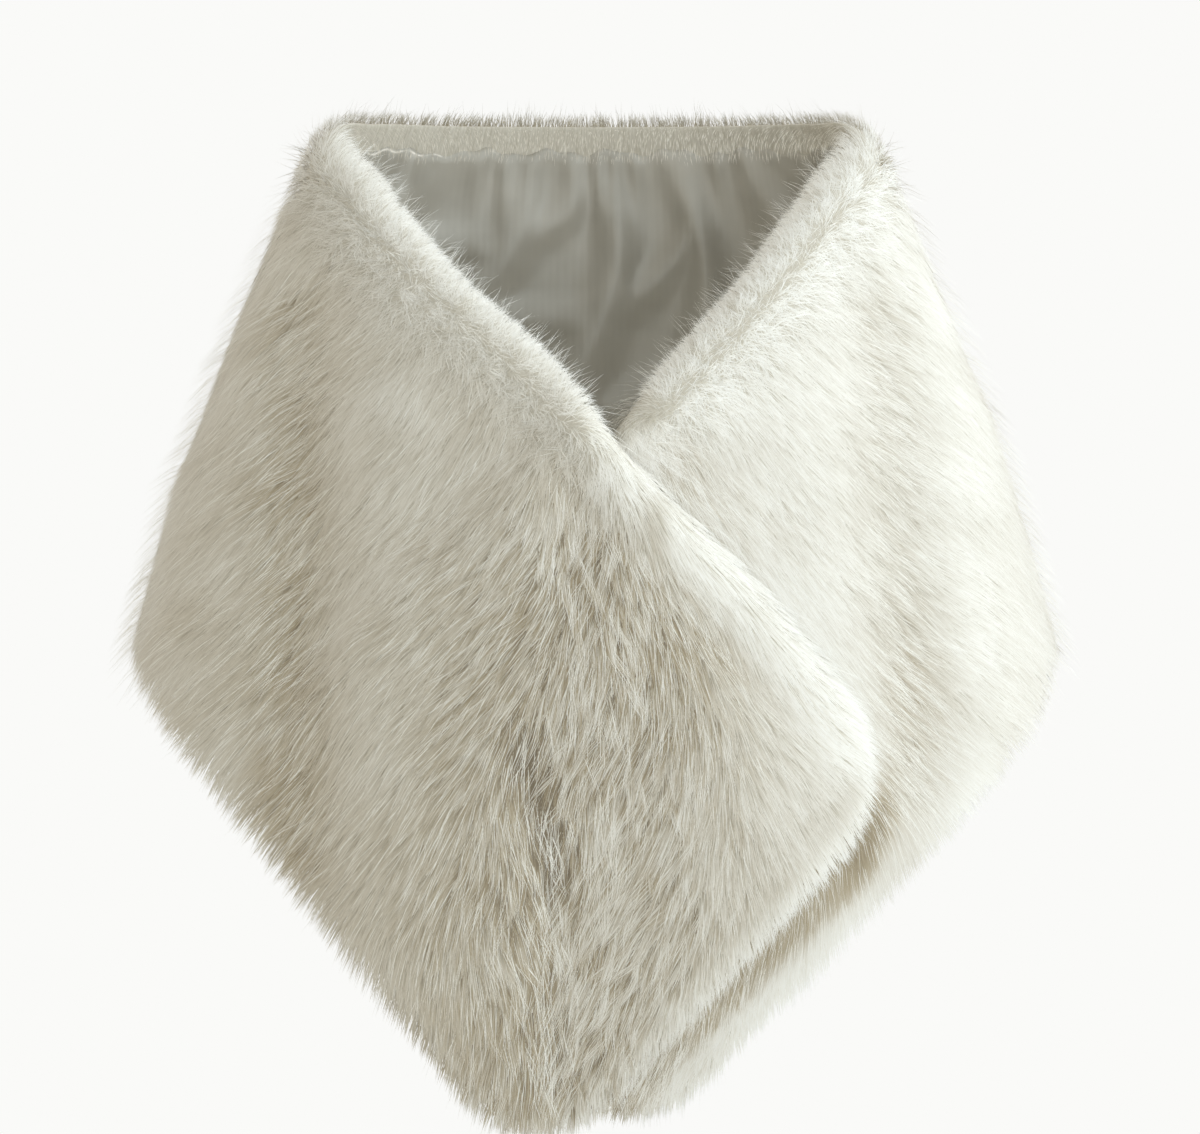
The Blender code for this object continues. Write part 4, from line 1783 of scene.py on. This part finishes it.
class SatinPiece:
    """The lining, laid on the inside of the fur with small wrinkles."""

    def __init__(self, halves: dict[Side, LaidHalf], sizes: LiningSizes) -> None:
        """Cuts the lining.

        Args:
            halves: The two laid halves.
            sizes: The lining's sizes.
        """
        self.halves = halves
        self.sizes = sizes
        self.cut = Cut(neck_inset=sizes.from_neck, hem_inset=sizes.from_hem, end_inset=sizes.from_end)

    def build(self) -> bpy.types.Object:
        """Lays a grid on the inside of the fur and gives it its thickness.

        Returns:
            The lining.
        """
        from_end = np.linspace(self.cut.end, 0, self.sizes.columns // 2)
        share = np.linspace(0, 1, self.sizes.rows) ** self.sizes.rows_closer_to_neck
        rows = self.cut.top + (self.cut.low - self.cut.top) * share
        from_end, across = np.meshgrid(from_end, rows, indexing="ij")
        along = self.cut.along_at(from_end, across)

        def half(laid: LaidHalf, along: np.ndarray, across: np.ndarray) -> tuple[np.ndarray, ...]:
            """Places and flat places of one half."""
            run = along * laid.strip.side.value
            from_edge = self.cut.edge_distance(along, across)
            turn, height = laid.strip.place(along, across + self.ruffles(run, across))
            lift, _ = laid.overlap(turn, height)
            inward = laid.layers.seam_gap + self.wrinkles(run, across, from_edge)
            place = laid.strip.form.offset(turn, height, lift - laid.layers.fur_wall - inward)
            return place, np.stack([run, across], axis=-1)

        place, flat = both_halves(self.halves, half, along, across)
        lining = new_grid("satin_lining", *place.shape[:2])
        lay_on(lining, place, flat)
        apply_modifier(lining, "SOLIDIFY", thickness=self.sizes.thickness, offset=-1)
        bpy.ops.object.shade_smooth()
        lining.data.materials.append(SatinLining().material())
        return lining

    def ruffles(self, run: np.ndarray, across: np.ndarray) -> np.ndarray:
        """How far the sewn neck edge wanders off its line.

        Args:
            run: Distances along the strip, below zero on the left half.
            across: Distances from the neck edge.

        Returns:
            The distances.
        """
        sizes = self.sizes
        wander = waved((sizes.ruffle_wander,), run, across)
        wave = np.sin(run * 2 * np.pi / sizes.ruffle_every + wander)
        wave = wave + waved((sizes.small_ruffle,), run, across)
        return sizes.ruffle * wave * np.exp(-(across - self.cut.top) / sizes.ruffle_depth)

    def wrinkles(self, run: np.ndarray, across: np.ndarray, from_edge: np.ndarray) -> np.ndarray:
        """How far the satin lies off the fur's inside.

        It has gathers at the seam, slack drapes beyond them, slanting creases across those, and its edge is
        tucked into the fur.

        Args:
            run: Distances along the strip, below zero on the left half.
            across: Distances from the neck edge.
            from_edge: Distances from the lining's own edge.

        Returns:
            The distances.
        """
        sizes = self.sizes

        def crests(phase: np.ndarray, sharpness: float) -> np.ndarray:
            """0 to 1 and back with each whole number, its high part narrower the sharper it is."""
            return (0.5 + 0.5 * np.sin(2 * np.pi * phase)) ** sharpness

        wander = waved(sizes.gather_wander, run, across)
        gathers = run / sizes.gather_every + wander + across * sizes.gather_lean
        gathers = crests(gathers, sizes.gather_sharpness)
        gathers = sizes.gather * np.exp(-from_edge / sizes.gather_depth) * gathers
        bend = waved(sizes.drape_bend, run, across)
        drape = crests(run / sizes.drape_every + bend, sizes.drape_sharpness)
        slanting = run / sizes.cross_every - across / sizes.cross_across + bend * sizes.cross_bend
        cross = sizes.cross_share * crests(slanting, sizes.cross_sharpness)
        slack = sizes.drape * np.maximum(drape, cross) * sizes.slack.at(from_edge)
        return sizes.seam.at(from_edge) * (gathers + slack) - sizes.tucked * (1 - sizes.tuck.at(from_edge))


@dataclass(frozen=True)
class Studio:
    """White studio: a level camera in front, a large soft key from the right, and pale surroundings."""

    distance: float = 3.2
    pixels_of_focal_length: float = 4000.0
    picture_width: float = 1200.0
    aim_x: float = 0.004
    aim_height: float = -0.3216
    floor_height: float = -1.30
    fill_left: tuple[str, float] = ("FFF3DE", 0.58)
    fill_right: tuple[str, float] = ("E8F4FF", 1.70)
    backdrop: tuple[str, float] = ("FFFBF2", 1.05)
    shown: tuple[str, float] = ("FAFAF8", 1.0)
    key_place: tuple[float, float, float] = (2.1, -1.1, 0.40)
    key_size: float = 1.1
    key_power: float = 16.0
    sides: tuple[float, float] = (-0.9, 0.9)
    backdrop_from: tuple[float, float] = (-0.1, 0.35)
    floor_radius: float = 3.0
    film_width: float = 36.0

    def camera(self) -> None:
        """Puts the camera where the photo's was."""
        place = (self.aim_x, -self.distance, self.aim_height)
        bpy.ops.object.camera_add(location=place, rotation=(np.pi / 2, 0, 0))
        camera = bpy.context.object
        camera.data.sensor_fit = "HORIZONTAL"
        camera.data.sensor_width = self.film_width
        camera.data.lens = self.film_width * self.pixels_of_focal_length / self.picture_width
        bpy.context.scene.camera = camera

    def soft_box(self, place: tuple[float, float, float], size: float, power: float, colour: str) -> None:
        """Adds a square area light that faces the shawl.

        Args:
            place: Where it stands.
            size: Its side.
            power: Its watts.
            colour: Its sRGB hex colour.
        """
        bpy.ops.object.light_add(type="AREA", location=place)
        lamp = bpy.context.object
        lamp.data.size = size
        lamp.data.energy = power
        lamp.data.color = linear(colour)[:3]
        aim = Vector((0, 0, self.aim_height)) - Vector(place)
        lamp.rotation_euler = aim.to_track_quat("-Z", "Y").to_euler()

    def surroundings(self) -> None:
        """The pale floor, far below the held-up shawl, and an even white sky."""
        place = (0, 0, self.floor_height)
        bpy.ops.mesh.primitive_circle_add(
            vertices=96, radius=self.floor_radius, fill_type="NGON", location=place
        )
        floor = bpy.context.object
        floor.name = "studio_floor"
        material, finish = new_material("matt_white_paper")
        feed(material, finish, {"Base Color": linear("F4F4F2"), "Roughness": 0.9})
        floor.data.materials.append(material)
        self.sky()

    def sky(self) -> None:
        """A white studio: the room is brighter on the right, and the backdrop and what shows are even."""
        world = bpy.data.worlds.new("white_studio")
        world.use_nodes = True
        bpy.context.scene.world = world
        way = add_node(world, "ShaderNodeTexCoord").outputs["Generated"]
        parts = add_node(world, "ShaderNodeSeparateXYZ", {0: way})

        def share(axis: str, limits: tuple[float, float]) -> bpy.types.NodeSocket:
            """0 to 1 between two limits along an axis."""
            spread = {"Value": parts.outputs[axis], "From Min": limits[0], "From Max": limits[1]}
            return add_node(world, "ShaderNodeMapRange", spread).outputs["Result"]

        room = self.mixed(world, share("X", self.sides), self.fill_left, self.fill_right)
        room = self.mixed(world, share("Y", self.backdrop_from), mix_output(room), self.backdrop)
        shown = add_node(world, "ShaderNodeLightPath").outputs["Is Camera Ray"]
        shown = self.mixed(world, shown, mix_output(room), self.shown)
        feed(world, world.node_tree.nodes["Background"], {"Color": mix_output(shown)})

    @staticmethod
    def mixed(
        world: bpy.types.World, share: bpy.types.NodeSocket,
        first: bpy.types.NodeSocket | tuple[str, float], second: tuple[str, float],
    ) -> bpy.types.Node:
        """Mixes two lights, each a socket, or an sRGB hex colour with its strength.

        Args:
            world: The world.
            share: How much of the second is in the mix.
            first: The first light.
            second: The second light.

        Returns:
            The mix node.
        """
        colours = {"Factor": share}
        for name, light in (("A", first), ("B", second)):
            is_lamp = isinstance(light, tuple)
            colours[name] = [part * light[1] for part in linear(light[0])[:3]] + [1.0] if is_lamp else light
        return add_node(world, "ShaderNodeMix", colours, data_type="RGBA")

    def build(self) -> None:
        """Sets up the whole studio."""
        bpy.ops.object.select_all(action="DESELECT")
        self.surroundings()
        self.soft_box(self.key_place, self.key_size, self.key_power, "FFFFFF")
        self.camera()
        bpy.context.scene.view_settings.view_transform = "Standard"


def main() -> None:
    """Builds the shawl piece by piece and attaches each piece to the body."""
    logging.basicConfig(level=logging.INFO, format="%(message)s")
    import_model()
    form, layers, cloth = WornForm(), Layers(), FurCloth()
    right = StripHalf(form, Side.RIGHT, RIGHT_NECK_EDGE, RIGHT_HEM)
    left = StripHalf(form, Side.LEFT, LEFT_NECK_EDGE, LEFT_HEM)
    halves = {Side.RIGHT: LaidHalf(right, left, layers), Side.LEFT: LaidHalf(left, right, layers)}
    shawl = FurShawl(halves, cloth)
    hide = shawl.hide()
    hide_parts("back", "right_front", "left_front")
    log.info("fur hide: %d faces", len(hide.data.polygons))
    lining = SatinPiece(halves, LiningSizes()).build()
    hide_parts("lining_back", "lining_right_front", "lining_left_front")
    log.info("satin lining: %d faces", len(lining.data.polygons))
    pile = Pile(shawl.skin, form, cloth, HairSizes())
    finish = AcrylicPile()
    material = finish.material()
    stretches = [pile.piece(piece, finish, material) for piece in Pile.PIECES]
    for stretch in stretches:
        log.info("%s: %d faces", stretch.name, len(stretch.data.polygons))
    for piece, slot in [(hide, "fur"), (lining, "lining"), *((stretch, "fur") for stretch in stretches)]:
        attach(piece, BODY)
    Studio().build()


if __name__ == "__main__":
    main()
